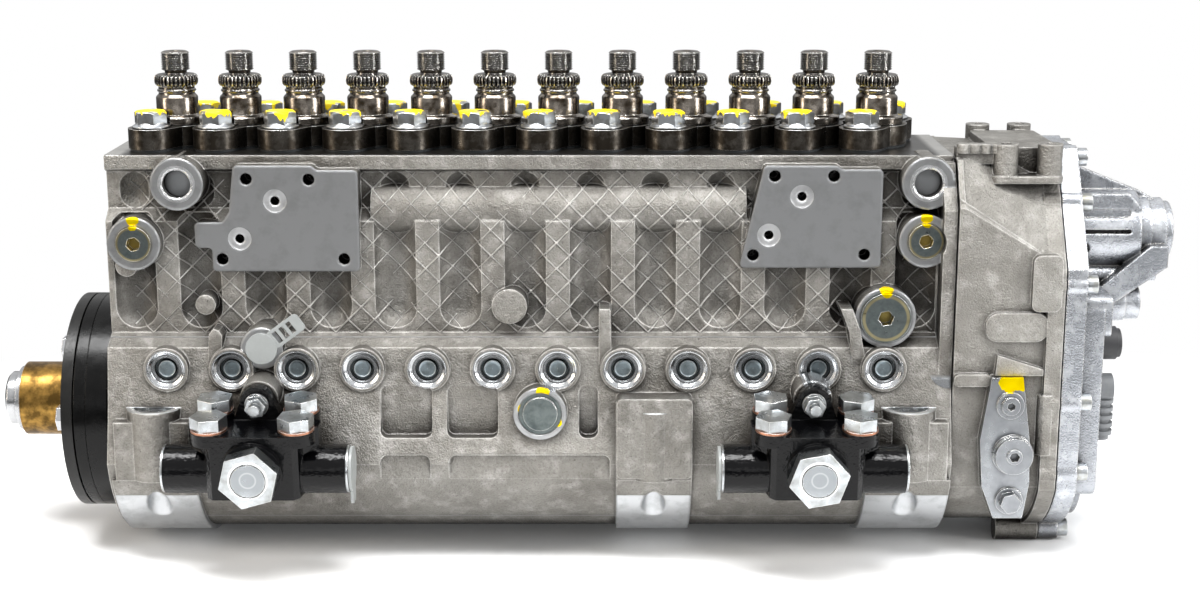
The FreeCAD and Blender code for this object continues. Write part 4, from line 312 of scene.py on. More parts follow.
def milledHousing(tree, coords):
    # Pads, boss rims, port seats, column tops, the cradle line and the deck, found by their planes.
    # Each comes with its colour and its roughness; later ones lie over earlier ones.
    x, y, z = add(tree, "ShaderNodeSeparateXYZ", {}, {0: coords})
    faces = milledFaces
    pads = atPlace(tree, y, -faces["pads"])
    rings = atPlace(tree, y, -faces["pad_rings"], 0.08)
    rims = combined(tree, "MAXIMUM", [
        combined(tree, "MULTIPLY", (
            atPlace(tree, y, -depth),
            between(tree, distanceFrom(tree, coords, (bossX, 0, bossZ)), 0, radius)))
        for bossX, bossZ, radius, depth in faces["bosses"]])
    bores = combined(tree, "MAXIMUM", [
        between(tree, distanceFrom(tree, coords, (boreX, 0, boreZ)), radius - 1.5, radius + 2.2, 0.3)
        for boreX, boreZ, radius in faces["bores"]])
    boreRims = combined(tree, "MULTIPLY", (bores, rims))
    reach = distanceInRow(tree, x, combined(tree, "SUBTRACT", (z, faces["port_z"] * mm)))
    mouths = add(tree, mapRange, {}, {
        0: reach, 1: (faces["port_r"] + 0.2) * mm, 2: faces["port_r"] * mm})[0]
    inFront = add(tree, mapRange, {}, {
        0: y, 1: (0.5 - faces["port_from"]) * mm, 2: -faces["port_from"] * mm})[0]
    ports = combined(tree, "MULTIPLY", (mouths, inFront))
    # Painted shade in the recessed ring between plug and seat.
    plugGapShade = combined(tree, "MULTIPLY", (ports, between(tree, reach, faces["plug_r"], faces["seat_r"])))
    behind = add(tree, mapRange, {}, {
        0: y, 1: (-faces["port_floor"] - 0.3) * mm, 2: -faces["port_floor"] * mm})[0]
    walls = combined(tree, "MULTIPLY", (ports, behind))
    fromColumns = combined(tree, "MINIMUM", [
        distanceFrom(tree, coords, (column, side * faces["column_y"], 0), (1, 1, 0))
        for column in faces["columns"] for side in (-1, 1)])
    top = faces["column_top"]
    tops = combined(tree, "MULTIPLY", (
        atPlace(tree, z, top), between(tree, fromColumns, 0, faces["column_r"])))
    sinks = combined(tree, "MULTIPLY", (
        between(tree, fromColumns, 0, faces["sink_r"], 0.3),
        between(tree, z, top - faces["sink_depth"], top)))
    footRuns = combined(tree, "MAXIMUM", [between(tree, x, low, high) for low, high in faces["feet"]])
    underneath = add(tree, mapRange, {}, {
        0: z, 1: faces["foot_z"] * mm, 2: (faces["foot_z"] - 0.2) * mm})[0]
    feet = combined(tree, "MULTIPLY", (footRuns, underneath))
    deck = atPlace(tree, z, faces["deck"])
    # Painted shade: the deck goes nearly black under and between the element flanges.
    shadedDeck = combined(tree, "MULTIPLY", (
        deck, between(tree, x, *faces["deck_shade_x"], 4), between(tree, y, *faces["deck_shade_y"], 4)))
    return (
        (pads, "#808182", 0.5), (rings, "#c9cacb", 0.35), (rims, "#a6a7a8", 0.3), (ports, "#a2a4a6", 0.25),
        (plugGapShade, "#4a4d4f", 0.3), (walls, "#77797b", 0.25), (boreRims, "#eeeff0", 0.2),
        (tops, "#b4b6b7", 0.3), (sinks, "#e9ebec", 0.2), (feet, "#b5b7b9", 0.3), (deck, "#a3a29f", 0.42),
        (shadedDeck, "#34322f", 0.3),
    )


def goldRims(tree, coords):
    # The plated rims and sockets of the hexagon plugs have yellowed; the core plugs above are plain grey.
    layers = []
    for at, radius in (((61.5, 0, 101), 9.6), ((489.5, 0, 102.5), 9.6), ((468.6, 0, 61), 12.5)):
        away = distanceFrom(tree, coords, at)
        layers.append((between(tree, away, radius - 1.0, radius, 0.6), "#a59c7a"))
        layers.append((between(tree, away, 0.0, 3.6, 0.3), "#c9b46a"))
    height = add(tree, "ShaderNodeSeparateXYZ", {}, {0: coords})["Z"]
    upper = add(tree, mapRange, {}, {0: height, 1: 118 * mm, 2: 119 * mm})[0]
    return layers + [(upper, "#a7a9ab")]


def plugRings(tree, coords):
    # The big hexagon plugs of the feed pumps are turned: a bright ring round a darker middle.
    depth = add(tree, "ShaderNodeSeparateXYZ", {}, {0: coords})["Y"]
    front = add(tree, mapRange, {}, {0: depth, 1: -115 * mm, 2: -116 * mm})[0]
    rings = ((0.0, 9.4, 0.2, "#8d9194"), (9.5, 10.3, 0.3, "#f4f5f5"), (4.0, 4.3, 0.5, "#a5a8aa"))
    layers = []
    for centreX in (130, 428):
        away = distanceFrom(tree, coords, (centreX, 0, -11.75))
        for low, high, soft, tint in rings:
            turned = combined(tree, "MULTIPLY", (front, between(tree, away, low, high, soft)))
            layers.append((turned, tint))
    return layers


def plugAndBoot(tree, coords):
    # The upper cable connector is a black moulding, the lower one a grey rubber elbow.
    height = add(tree, "ShaderNodeSeparateXYZ", {}, {0: coords})["Z"]
    return [(add(tree, mapRange, {}, {0: height, 1: 27 * mm, 2: 28 * mm})[0], "#29292b")]


# Dabs of inspection paint: place in millimetres, radius and colour
housingDabs = (
    ((61.5, -52, 114.0), 3.2, yellow), ((489.5, -52, 115.5), 3.2, yellow),
    ((468.6, -56, 77.0), 3.8, yellow), ((282.5, -69, 22.6), 3.6, yellow),
    ((271.5, -69, 13.5), 2.6, yellow), ((290.5, -69, 5.5), 2.4, yellow),
)
feedDabs = (((134.0, -71.5, 43.0), 4.2, blue), ((432.0, -71.5, 43.0), 4.2, blue))
plateDabs = (((535.0, -66, 27.0), 5.5, yellow), ((541.0, -66, 27.5), 5.0, yellow))
socketDabs = (
    ((61.5, -53, 111.0), 2.6, yellow), ((489.5, -53, 112.5), 2.6, yellow),
    ((468.6, -57.5, 75.5), 3.0, yellow),
)

# Sand-cast and oily from use: a dull, lumpy grey with brown painted shade in the corners and on the deck,
# bright where a cutter went
castHousing = castMetal(
    "sand-cast aluminium, oily", "#86847f", "#4b4742", "#b6b4b0", 0.42, 1.0, milledHousing, housingDabs)
# The same casting, painted paler along the ridges where they stand proud: a painted highlight on the lines
castRidgeHighlight = castMetal("sand-cast aluminium, ridges painted paler", "#a9a7a3", "#78746f", "#d4d2cf", 0.2, 0.8)
# Sand-cast without cut faces: the lumps go all round
castGovernor = castMetal("sand-cast aluminium, governor", "#8f8d88", "#5d5953", "#b8b6b1", 0.4, 1.0)
# Pressure die-cast in a smooth mould: bright and glossy, with small lumps only
castCover = castMetal(
    "die-cast aluminium cover", "#b4b7bc", "#83878d", "#e2e4e7", 0.12, 0.95, roughFrom=0.18, roughTo=0.34)
# Sprayed gloss enamel over a rough casting: deep black with a wavy shine
feedPaint = coated("gloss black enamel", "#020203", 0.12, "#040405", feedDabs, 0.3, 0.2)
# Forged and then blackened by hot oil: dark brown steel that still mirrors the lights
flangeSteel = machined("forged steel, oil black", "#7a756e", 0.32, "#38332d", 0.34)
# Electroplated with zinc: light blue-grey, cloudy where it has dulled
zincBolt = machined("zinc-plated screw", "#bcc0c4", 0.32, "#8e8c80", 0.2)
# Zinc plate over a turned face: bright and dark rings
feedZinc = machined("zinc-plated hexagon plug", "#b4b8bb", 0.3, "#8f918f", 0.2, None, (), plugRings)
# Freshly turned in the casting: the brightest aluminium on the pump
polishedSeat = machined("turned aluminium seat", "#b9bbbd", 0.2, "#8b8d8f", 0.15)
# Pressed sheet with dulled zinc: an even mid grey
plateZinc = machined("zinc-plated side plate", "#8f9295", 0.3, "#84868a", 0.2, None, plateDabs)
# Chromated zinc: grey-green faces with yellowed rims
socketGrey = machined("chromated socket plug", "#777f7e", 0.34, "#535b5b", 0.2, "y", socketDabs, goldRims)
# Zinc plate with brushed paint: half metal, half matt yellow
zincPainted = paintedZinc("zinc-plated screw, brushed paint", 169.0, 5.5)
# Ground on a wheel: bright, with fine lines round the shaft
groundSteel = machined("ground steel", "#b0b1b3", 0.22, ringsAlong="x")
# Phosphated and oiled: golden brown patches that go dark
sleeveSteel = machined("phosphated steel sleeve", "#a37f42", 0.36, "#54401f", 0.3, "x")
# Sprayed satin paint on a turned ring: nearly black, with a narrow light line along each edge
damperPaint = coated("satin black paint", "#020202", 0.24, "#060606", (), 0.05, 0.18)
# Thin black paint over a cut plate: a little rougher than the damper
plateBlack = coated("black painted plate", "#080807", 0.34, "#121110", (), 0.1, 0.3)
# Plated and dulled: blue-grey with turned rings
plugGrey = machined("grey plated plug", "#7b868b", 0.36, "#545a5b", 0.2, "y")
# Annealed copper: a pink-brown line under each plug
copper = machined("annealed copper washer", "#b7836a", 0.35, "#7c5a48", 0.2)
# Moulded rubber wet with oil: black with a broad soft light
rubber = coated("moulded rubber, oily", "#0c0c0c", 0.45)
# Pressed fibre: a matt dark line between castings
gasketSheet = coated("pressed gasket sheet", "#202426", 0.6)
# Injection-moulded polythene: an even grey with a waxy light
greyCap = coated("moulded grey dust cap", "#8a8d8c", 0.38, "#777a79")
# Moulded rubber elbow below, black nylon plug above: dull grey against near black
bootRubber = coated("moulded grey rubber", "#6a6c6e", 0.5, "#505254", extra=plugAndBoot)
# Turned brass: warm yellow inside the rack's holes
brassGuide = machined("turned brass", "#b59a5c", 0.3)
# Dipped in varnish: brown with a soft shine
coilVarnish = coated("varnished copper winding", "#4a2a14", 0.4)

# The shaft, rack, tappets, barrels, valves, springs and whatever else isn't named are ground steel
looks = {
    "pump_housing": castHousing, "bearing_end_plate": castHousing, "governor_housing": castGovernor,
    "governor_cover": castCover, "housing_screws": zincBolt, "flange_bolts": zincBolt,
    "element_bushes": flangeSteel, "gaskets": gasketSheet, "shaft_seal": rubber, "port_plugs": plugGrey,
    "gallery_plugs": socketGrey, "dust_caps": greyCap, "rack_guides": brassGuide,
    "feed_pump_bodies": feedPaint, "feed_pump_fittings": feedZinc, "feed_pump_washers": copper,
    "side_plate": plateZinc, "cable_connectors": bootRubber, "solenoid_coil": coilVarnish,
    "coupling_sleeve": sleeveSteel, "damper_plate": plateBlack, "vibration_damper": damperPaint,
}


def dressNodes():
    for name, node in nodes.items():
        node.data.materials.clear()
        node.data.materials.append(looks.get(name, groundSteel))


dressNodes()
print("materials on", len(nodes), "nodes")


# Mesh helpers

def meshPiece(name, vertices, faces, material, edges=()):
    mesh = bpy.data.meshes.new(name)
    mesh.from_pydata(vertices, list(edges), faces)
    mesh.materials.append(material)
    piece = bpy.data.objects.new(name, mesh)
    scene.collection.objects.link(piece)
    return piece


def smooth(piece, angle=32):
    # Smooth faces with sharp edges where they meet at more than angle degrees.
    for polygon in piece.data.polygons:
        polygon.use_smooth = True
    piece.data.set_sharp_from_angle(angle=math.radians(angle))


def turnFaces(segments, count, closed=True):
    # Faces between the copies of a profile of count points that goes round in segments steps.
    faces = []
    for k in range(segments):
        after = (k + 1) % segments * count
        for i in range(count if closed else count - 1):
            a, b = k * count + i, k * count + (i + 1) % count
            faces.append((a, after + i, after + (i + 1) % count, b))
    return faces


def latheMesh(profile, segments, shape=None):
    # A closed profile of (radius, height) in millimetres, turned about Z.
    # shape may change a radius: it gets the radius, height and angle.
    vertices = []
    for k in range(segments):
        angle = 2 * math.pi * k / segments
        for r, z in profile:
            r = shape(r, z, angle) if shape else r
            vertices.append((r * math.cos(angle) * mm, r * math.sin(angle) * mm, z * mm))
    return vertices, turnFaces(segments, len(profile))


def joined(parts):
    # Several meshes as one.
    vertices, faces = [], []
    for partVertices, partFaces in parts:
        start = len(vertices)
        vertices += partVertices
        faces += [tuple(start + i for i in face) for face in partFaces]
    return vertices, faces


def moved(part, x=0.0, y=0.0, turn=0.0):
    # A mesh turned about Z and then moved across it, in metres.
    vertices, faces = part
    c, s = math.cos(turn), math.sin(turn)
    return [(px * c - py * s + x, px * s + py * c + y, pz) for px, py, pz in vertices], faces


def hexHead(flats, low, high, chamfer):
    # A hexagon head whose top corners are turned off down to a round face.
    segments, faceShare, cutFrom, cutSlope = 72, 0.96, 1.03, 0.55
    vertices = []
    half = flats / 2
    for k in range(segments):
        angle = 2 * math.pi * k / segments
        inSector = (angle + math.pi / 6) % (math.pi / 3) - math.pi / 6
        hexR = half / math.cos(inSector)
        cornerDrop = max(hexR - half * cutFrom, 0) * cutSlope
        radii = [0.01, hexR, hexR, min(hexR, half * faceShare), 0.01]
        heights = [low, low, high - chamfer - cornerDrop, high, high]
        for r, z in zip(radii, heights):
            vertices.append((r * math.cos(angle) * mm, r * math.sin(angle) * mm, z * mm))
    return vertices, turnFaces(segments, len(radii), closed=False)


# Delivery valve holders: turned, with a knurl, a threaded outlet and screw clearances in the collar

holder = {
    "shank_low": 151.8, "flange_top": 160.0, "collar_top": 164.8, "neck_r": 11.7, "top": 200.0,
    "bolt_x": 10.6, "bolt_y": 20.0, "bolt_clearance": 10.8,
    "knurls": 32, "knurl_depth": 1.2, "knurl_from": 10.6, "knurl_low": 181.2, "knurl_high": 186.8,
    "thread_r": 7.75, "thread_pitch": 1.25, "thread_low": 189.8, "thread_high": 198.6,
}


def holderGrooveShade(tree, coords):
    # Painted shade: dark between the knurl's teeth and in the thread.
    x, y, z = add(tree, "ShaderNodeSeparateXYZ", {}, {0: coords})
    reach = distanceInRow(tree, x, y)
    knurl = combined(tree, "MULTIPLY", (
        between(tree, z, holder["knurl_low"], holder["knurl_high"]), between(tree, reach, 9.5, 11.35, 0.2)))
    thread = combined(tree, "MULTIPLY", (
        between(tree, z, holder["thread_low"], holder["thread_high"]), between(tree, reach, 5, 7.3, 0.2)))
    return [(combined(tree, "MAXIMUM", (knurl, thread)), "#0b0907")]


# Turned and polished, then browned by hot oil: long streaks of light between dark patches, and painted shade
# in the knurl and the thread
holderSteel = machined(
    "turned steel, polished", "#8a837b", 0.18, "#352e25", 0.26, "z", (), holderGrooveShade, 0.08)


def collarShape(r, z, angle):
    # The collar is scalloped round both screws.
    if z > holder["collar_top"] or r < holder["neck_r"]:
        return r
    reach = math.hypot(holder["bolt_x"], holder["bolt_y"])
    toBolt = math.atan2(holder["bolt_y"], holder["bolt_x"])
    for direction in (toBolt, toBolt + math.pi):
        off = (angle - direction + math.pi) % (2 * math.pi) - math.pi
        side = reach * math.sin(off)
        if math.cos(off) > 0 and abs(side) < holder["bolt_clearance"]:
            r = min(r, reach * math.cos(off) - math.sqrt(holder["bolt_clearance"] ** 2 - side ** 2))
    return r


def knurlShape(r, z, angle):
    # Straight teeth with flat tops and rounded gaps.
    if r < holder["knurl_from"]:
        return r
    wave, toothShare = math.cos(holder["knurls"] * angle), 0.35
    return r - holder["knurl_depth"] * max(0.0, toothShare - wave) / (1 + toothShare)


def holderMesh():
    # Three closed profiles of (radius, height): shank and collar, knurled ring, threaded outlet.
    low, top, shank = holder["flange_top"], holder["top"], holder["shank_low"]
    body = [
        (4.5, shank), (8.5, shank), (8.5, low), (14.4, low), (14.8, low + 0.4), (14.8, low + 3.9),
        (14.3, low + 4.5), (12.2, low + 5.0), (holder["neck_r"], low + 5.4), (11.5, low + 6.2),
        (11.5, top - 25.6), (11.2, top - 24.9), (10.2, top - 23.9), (9.9, top - 23.4), (9.9, top - 22.6),
        (10.1, top - 22.3), (10.55, top - 22.1), (10.65, top - 21.7), (10.55, top - 21.2),
        (10.1, top - 21.0), (9.9, top - 20.7), (9.9, top - 19.6), (10.2, top - 19.2), (8.0, top - 18.8),
        (1.2, top - 18.8), (1.2, low + 9.5), (4.5, low + 7.2),
    ]
    knurl = [
        (7.0, top - 19.2), (10.4, top - 19.2), (11.3, top - 18.7), (11.8, top - 17.8), (11.95, top - 16.6),
        (11.95, top - 15.2), (11.8, top - 14.1), (11.3, top - 13.3), (10.4, top - 12.8), (7.0, top - 12.8),
    ]
    crest, z = holder["thread_r"], holder["thread_low"]
    outlet = [
        (1.2, top - 18.8), (6.6, top - 18.8), (6.6, top - 12.6), (6.1, top - 12.2), (6.0, top - 11.4),
        (6.3, top - 10.7), (7.2, z - 0.2),
    ]
    while z < holder["thread_high"]:
        outlet += [(crest, z + 0.25), (crest, z + 0.45), (7.1, z + 0.9), (7.1, z + 1.05)]
        z += holder["thread_pitch"]
    outlet += [
        (7.2, top - 0.9), (6.6, top - 0.2), (6.2, top), (3.4, top), (3.0, top - 0.3), (1.2, top - 3.0)]
    return joined([
        latheMesh(body, 72, collarShape),
        latheMesh(knurl, holder["knurls"] * 8, knurlShape),
        latheMesh(outlet, 56),
    ])


# Flanged hexagon screws that hold the element flanges

screw = {
    "flats": 16.0, "seat": 160.0, "head": 162.5, "top": 169.2, "flange_r": 10.2, "chamfer": 0.4,
    "front_turn": 0.38, "back_turn": 0.68,
}


def screwMesh(turn):
    seat, head, r = screw["seat"], screw["head"], screw["flange_r"]
    flange = [
        (1.0, seat), (r - 0.3, seat), (r, seat + 0.3), (r, seat + 0.9), (r - 0.4, seat + 1.3),
        (r - 1.1, seat + 1.5), (8.3, head), (7.9, head + 0.6), (1.0, head + 0.6),
    ]
    hexagon = hexHead(screw["flats"], head, screw["top"], screw["chamfer"])
    return moved(joined([latheMesh(flange, 64), hexagon]), turn=turn)


def settle(piece):
    # Turns what the modifiers make into the piece's plain mesh.
    graph = bpy.context.evaluated_depsgraph_get()
    result = bpy.data.meshes.new_from_object(piece.evaluated_get(graph))
    piece.modifiers.clear()
    piece.data = result


def nodeModifier(piece, group, values):
    # Puts a node group on a piece with its inputs set by socket identifier.
    modifier = piece.modifiers.new(group.name, "NODES")
    modifier.node_group = group
    for socket, value in values:
        modifier[socket.identifier] = value


def rowNodes(piece):
    # Repeats the piece's own mesh at every pump element.
    group = bpy.data.node_groups.new(piece.name + " row", "GeometryNodeTree")
    face = group.interface
    face.new_socket("Geometry", in_out="INPUT", socket_type="NodeSocketGeometry")
    count = face.new_socket("Elements", in_out="INPUT", socket_type="NodeSocketInt")
    pitch = face.new_socket("Element pitch", in_out="INPUT", socket_type="NodeSocketFloat")
    first = face.new_socket("First element", in_out="INPUT", socket_type="NodeSocketFloat")
    face.new_socket("Geometry", in_out="OUTPUT", socket_type="NodeSocketGeometry")
    given = add(group, "NodeGroupInput")
    step = add(group, "ShaderNodeCombineXYZ", {}, {"X": given["Element pitch"]})[0]
    start = add(group, "ShaderNodeCombineXYZ", {}, {"X": given["First element"]})[0]
    line = add(group, "GeometryNodeMeshLine", {"mode": "OFFSET"}, {
        "Count": given["Elements"], "Start Location": start, "Offset": step})[0]
    spread = add(group, "GeometryNodeInstanceOnPoints", {}, {
        "Points": line, "Instance": given["Geometry"]})[0]
    real = add(group, "GeometryNodeRealizeInstances", {}, {"Geometry": spread})[0]
    finished = add(group, "GeometryNodeSetMaterial", {}, {
        "Geometry": real, "Material": piece.data.materials[0]})[0]
    add(group, "NodeGroupOutput", {}, {0: finished})
    nodeModifier(piece, group, (
        (count, row["count"]), (pitch, row["pitch"] * mm), (first, row["first"] * mm)))
    settle(piece)


def elementPieces():
    holders = meshPiece("outlet_holders", *holderMesh(), holderSteel)
    rowNodes(holders)
    smooth(holders)
    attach(holders, "housing")
    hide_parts("delivery_valve_holders")
    x, y = holder["bolt_x"] * mm, holder["bolt_y"] * mm
    front = moved(screwMesh(screw["front_turn"]), -x, -y)
    back = moved(screwMesh(screw["back_turn"]), x, y)
    screws = meshPiece("flange_screws", *joined([front, back]), zincPainted)
    rowNodes(screws)
    smooth(screws)
    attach(screws, "housing")
    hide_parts("flange_bolts")


# Ports along the front: a turned seat in the casting and a plug with a raised middle

port = {"z": 33.0, "plug_low": 53.0, "plug_top": 58.2, "seat_low": 59.52}


def facingFront(part, z):
    # Turns a part made about Z to face the front, its axis at height z.
    vertices, faces = part
    return [(px, -pz, py + z * mm) for px, py, pz in vertices], faces


def portPieces():
    low, top, seat = port["plug_low"], port["plug_top"], port["seat_low"]
    plug = [
        (0.05, low), (6.5, low), (6.5, top - 1.9), (5.4, top - 2.1), (5.1, top - 1.6), (5.0, top - 0.3),
        (4.7, top), (4.3, top), (4.1, top - 0.25), (3.0, top - 0.3), (0.05, top - 0.3),
    ]
    ring = [
        (8.2, seat), (10.35, seat), (10.35, seat + 1.43), (10.0, seat + 1.38), (9.4, seat + 0.98),
        (9.0, seat + 0.6), (8.5, seat + 0.3), (8.2, seat + 0.1),
    ]
    plugs = meshPiece("port_plug_faces", *facingFront(latheMesh(plug, 48), port["z"]), plugGrey)
    seats = meshPiece("port_seats", *facingFront(latheMesh(ring, 56), port["z"]), polishedSeat)
    for piece, slot in ((plugs, "plug_grey"), (seats, "cast_aluminium")):
        rowNodes(piece)
        smooth(piece, 50)
        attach(piece, "housing")
    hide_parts("port_plugs")


# Fine cast ridges that cross the side walls in diamonds

ridge = {
    "left": 57.0, "right": 497.0, "low": 50.0, "high": 139.0, "start_y": -90.0, "spacing": 14.3, "step": 1.3,
    "width": 0.58, "thinnest": 0.4, "nearest": 45.5, "longest_step": 4.5,
    "seed": 7.0, "patch_scale": 38.0, "weakest": 0.36, "strongest": 0.56,
}


def ridgeLines():
    # Diagonal lines in the plane of the side wall, in short steps that can follow the surface.
    vertices, edges = [], []
    tall = ridge["high"] - ridge["low"]
    steps = int(tall / ridge["step"])
    for way in (-1, 1):
        x = ridge["left"] - tall
        while x < ridge["right"] + tall:
            previous = None
            for k in range(steps + 1):
                along = tall * k / steps
                px = x + way * along
                if ridge["left"] < px < ridge["right"]:
                    vertices.append((px * mm, ridge["start_y"] * mm, (ridge["low"] + along) * mm))
                    if previous is not None:
                        edges.append((previous, len(vertices) - 1))
                    previous = len(vertices) - 1
                else:
                    previous = None
            x += ridge["spacing"]
    return vertices, edges


def ridgeNodes(piece, wall):
    # Drops the lines on the wall, leaves out what lands on the pads, what the casting lost and the
    # jumps from one face to another, and gives the rest a round section.
    group = bpy.data.node_groups.new("ridges that follow a wall", "GeometryNodeTree")
    face = group.interface
    face.new_socket("Geometry", in_out="INPUT", socket_type="NodeSocketGeometry")
    width = face.new_socket("Ridge width", in_out="INPUT", socket_type="NodeSocketFloat")
    nearest = face.new_socket("Nearest face", in_out="INPUT", socket_type="NodeSocketFloat")
    seed = face.new_socket("Seed", in_out="INPUT", socket_type="NodeSocketFloat")
    face.new_socket("Geometry", in_out="OUTPUT", socket_type="NodeSocketGeometry")
    given = add(group, "NodeGroupInput")
    target = add(group, "GeometryNodeObjectInfo", {}, {"Object": wall})["Geometry"]
    aim = add(group, "ShaderNodeCombineXYZ", {}, {"Y": 1.0})[0]
    hit = add(group, "GeometryNodeRaycast", {}, {
        "Target Geometry": target, "Ray Direction": aim, "Ray Length": 0.1})["Hit Position"]
    dropped = add(group, "GeometryNodeSetPosition", {}, {"Geometry": given["Geometry"], "Position": hit})[0]
    place = add(group, "GeometryNodeInputPosition")[0]
    depth = add(group, "ShaderNodeSeparateXYZ", {}, {0: place})["Y"]
    limit = combined(group, "MULTIPLY", (given["Nearest face"], -1.0))
    tooNear = add(group, "FunctionNodeCompare", {"operation": "LESS_THAN"}, {0: depth, 1: limit})[0]
    kept = add(group, "GeometryNodeDeleteGeometry", {"domain": "POINT"}, {
        "Geometry": dropped, "Selection": tooNear})[0]
    faded = add(group, "ShaderNodeTexNoise", {"noise_dimensions": "4D"}, {
        "Vector": place, "W": given["Seed"], "Scale": ridge["patch_scale"], "Detail": 2.0})[0]
    weak = add(group, "FunctionNodeCompare", {"operation": "LESS_THAN"}, {0: faded, 1: ridge["weakest"]})[0]
    broken = add(group, "GeometryNodeDeleteGeometry", {"domain": "POINT"}, {
        "Geometry": kept, "Selection": weak})[0]
    ends = add(group, "GeometryNodeInputMeshEdgeVertices")
    gap = add(group, "ShaderNodeVectorMath", {"operation": "DISTANCE"}, {
        0: ends["Position 1"], 1: ends["Position 2"]})["Value"]
    jump = add(group, "FunctionNodeCompare", {"operation": "GREATER_THAN"}, {
        0: gap, 1: ridge["longest_step"] * mm})[0]
    whole = add(group, "GeometryNodeDeleteGeometry", {"domain": "EDGE"}, {
        "Geometry": broken, "Selection": jump})[0]
    curve = add(group, "GeometryNodeMeshToCurve", {}, {"Mesh": whole})[0]
    swell = add(group, mapRange, {}, {
        0: faded, 1: ridge["weakest"], 2: ridge["strongest"], 3: ridge["thinnest"], 4: 1.0})[0]
    section = add(group, "GeometryNodeCurvePrimitiveCircle", {}, {
        "Resolution": 6, "Radius": given["Ridge width"]})[0]
    tube = add(group, "GeometryNodeCurveToMesh", {}, {
        "Curve": curve, "Profile Curve": section, "Scale": swell})[0]
    finished = add(group, "GeometryNodeSetMaterial", {}, {
        "Geometry": tube, "Material": piece.data.materials[0]})[0]
    add(group, "NodeGroupOutput", {}, {0: finished})
    nodeModifier(piece, group, (
        (width, ridge["width"] * mm), (nearest, ridge["nearest"] * mm), (seed, ridge["seed"])))


def castRidges():
    vertices, edges = ridgeLines()
    piece = meshPiece("cast_ridges", vertices, [], castRidgeHighlight, edges)
    ridgeNodes(piece, nodes["pump_housing"])
    settle(piece)
    for polygon in piece.data.polygons:
        polygon.use_smooth = True
    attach(piece, "housing")


# Studio

studio = {
    "left": -0.75, "right": 1.4, "front": -0.42, "back": 0.6,
    "middle": (0.33, 0), "object_reach": (0.36, 0.14), "fade_from": 0.12, "fade_to": 0.27,
    "aim": (0.3, 0, 0.06),
    "lens": 57, "sensor": 36, "camera_at": (0.3135, -1.0585, 0.3025), "camera_aim": (0.3135, 0, 0.058),
}


def studioFloor():
    # A pale table; away from the object it turns into the white of the background.
    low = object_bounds()[0][2]
    material, tree, shader, coords = newMaterial("white painted table", Roughness=0.9)
    shader.inputs["Base Color"].default_value = linear("#f4f4f4")
    left, right, front, back = (studio[side] for side in ("left", "right", "front", "back"))
    corners = [(left, front, low), (right, front, low), (right, back, low), (left, back, low)]
    floor = meshPiece("studio_floor", corners, [(0, 1, 2, 3)], material)
    middle, reach = (*studio["middle"], low), (*studio["object_reach"], 1)
    offset = add(tree, "ShaderNodeVectorMath", {"operation": "SUBTRACT"}, {0: coords, 1: middle})[0]
    size = add(tree, "ShaderNodeVectorMath", {"operation": "ABSOLUTE"}, {0: offset})[0]
    beyond = add(tree, "ShaderNodeVectorMath", {"operation": "SUBTRACT"}, {0: size, 1: reach})[0]
    outside = add(tree, "ShaderNodeVectorMath", {"operation": "MAXIMUM"}, {0: beyond, 1: (0, 0, 0)})[0]
    away = add(tree, "ShaderNodeVectorMath", {"operation": "LENGTH"}, {0: outside})["Value"]
    seen = add(tree, "ShaderNodeLightPath")
    faded = add(tree, mapRange, {"interpolation_type": "SMOOTHSTEP"}, {
        0: away, 1: studio["fade_from"], 2: studio["fade_to"]})[0]
    looked = combined(tree, "MAXIMUM", (seen["Is Camera Ray"], seen["Is Glossy Ray"]))
    share = combined(tree, "MULTIPLY", (faded, looked))
    white = add(tree, "ShaderNodeEmission", {}, {"Strength": 1.0})[0]
    mixed = add(tree, "ShaderNodeMixShader", {}, {0: share, 1: shader.outputs[0], 2: white})[0]
    tree.links.new(mixed, tree.nodes["Material Output"].inputs["Surface"])


def areaLight(name, at, size, power, tint="#ffffff"):
    # A softbox of size metres that shines on the pump's middle.
    light = bpy.data.lights.new(name, "AREA")
    light.shape = "RECTANGLE"
    light.size, light.size_y = size
    light.energy = power
    light.color = linear(tint)[:3]
    lamp = bpy.data.objects.new(name, light)
    lamp.location = at
    lamp.rotation_euler = (Vector(studio["aim"]) - Vector(at)).to_track_quat("-Z", "Y").to_euler()
    scene.collection.objects.link(lamp)


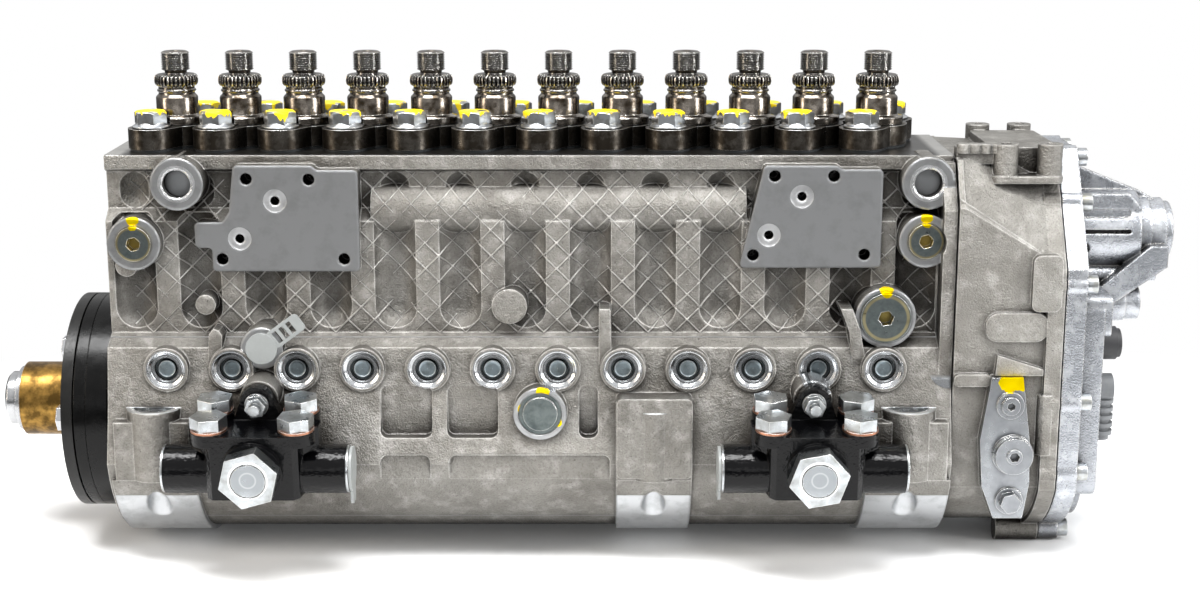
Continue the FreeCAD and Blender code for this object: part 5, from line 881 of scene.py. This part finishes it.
def studioWorld():
    # White behind the object; metal sees a white sky that falls off to the dark of the room below.
    background = bpy.data.worlds.new("studio")
    background.use_nodes = True
    tree = background.node_tree
    for node in list(tree.nodes):
        tree.nodes.remove(node)
    seen = add(tree, "ShaderNodeLightPath")
    direction = add(tree, "ShaderNodeTexCoord")["Generated"]
    height = add(tree, "ShaderNodeSeparateXYZ", {}, {0: direction})["Z"]
    sky = add(tree, mapRange, {"interpolation_type": "SMOOTHSTEP"}, {
        0: height, 1: -0.15, 2: 0.5, 3: 0.1, 4: 0.95})[0]
    soft = add(tree, "ShaderNodeBackground", {}, {"Color": linear("#eef0f2"), "Strength": 0.75})[0]
    mirrored = add(tree, "ShaderNodeBackground", {}, {"Color": (1, 1, 1, 1), "Strength": sky})[0]
    white = add(tree, "ShaderNodeBackground", {}, {"Color": (1, 1, 1, 1), "Strength": 1.0})[0]
    glossy = add(tree, "ShaderNodeMixShader", {}, {0: seen["Is Glossy Ray"], 1: soft, 2: mirrored})[0]
    direct = combined(tree, "MAXIMUM", (seen["Is Camera Ray"], seen["Is Transmission Ray"]))
    mixed = add(tree, "ShaderNodeMixShader", {}, {0: direct, 1: glossy, 2: white})[0]
    add(tree, "ShaderNodeOutputWorld", {}, {"Surface": mixed})
    scene.world = background


def photoCamera():
    view = bpy.data.cameras.new("photo camera")
    view.lens = studio["lens"]
    view.sensor_width = studio["sensor"]
    stand = bpy.data.objects.new("photo camera", view)
    stand.location = studio["camera_at"]
    toPump = Vector(studio["camera_aim"]) - stand.location
    stand.rotation_euler = toPump.to_track_quat("-Z", "Y").to_euler()
    scene.collection.objects.link(stand)
    scene.camera = stand


elementPieces()
print("holders and screws")
portPieces()
castRidges()
print("ports and cast ridges")
studioFloor()
areaLight("key over the front", (0.15, -0.55, 1.5), (1.5, 0.45), 50)
areaLight("left strip", (-1.3, -0.7, 0.6), (0.35, 1.2), 12, "#fff0dc")
areaLight("right strip", (1.9, -0.7, 0.7), (0.35, 1.4), 26)
areaLight("low fill", (0.3, -1.8, 0.3), (1.4, 0.25), 2)
studioWorld()
photoCamera()
scene.view_settings.view_transform = "Standard"
print("studio")
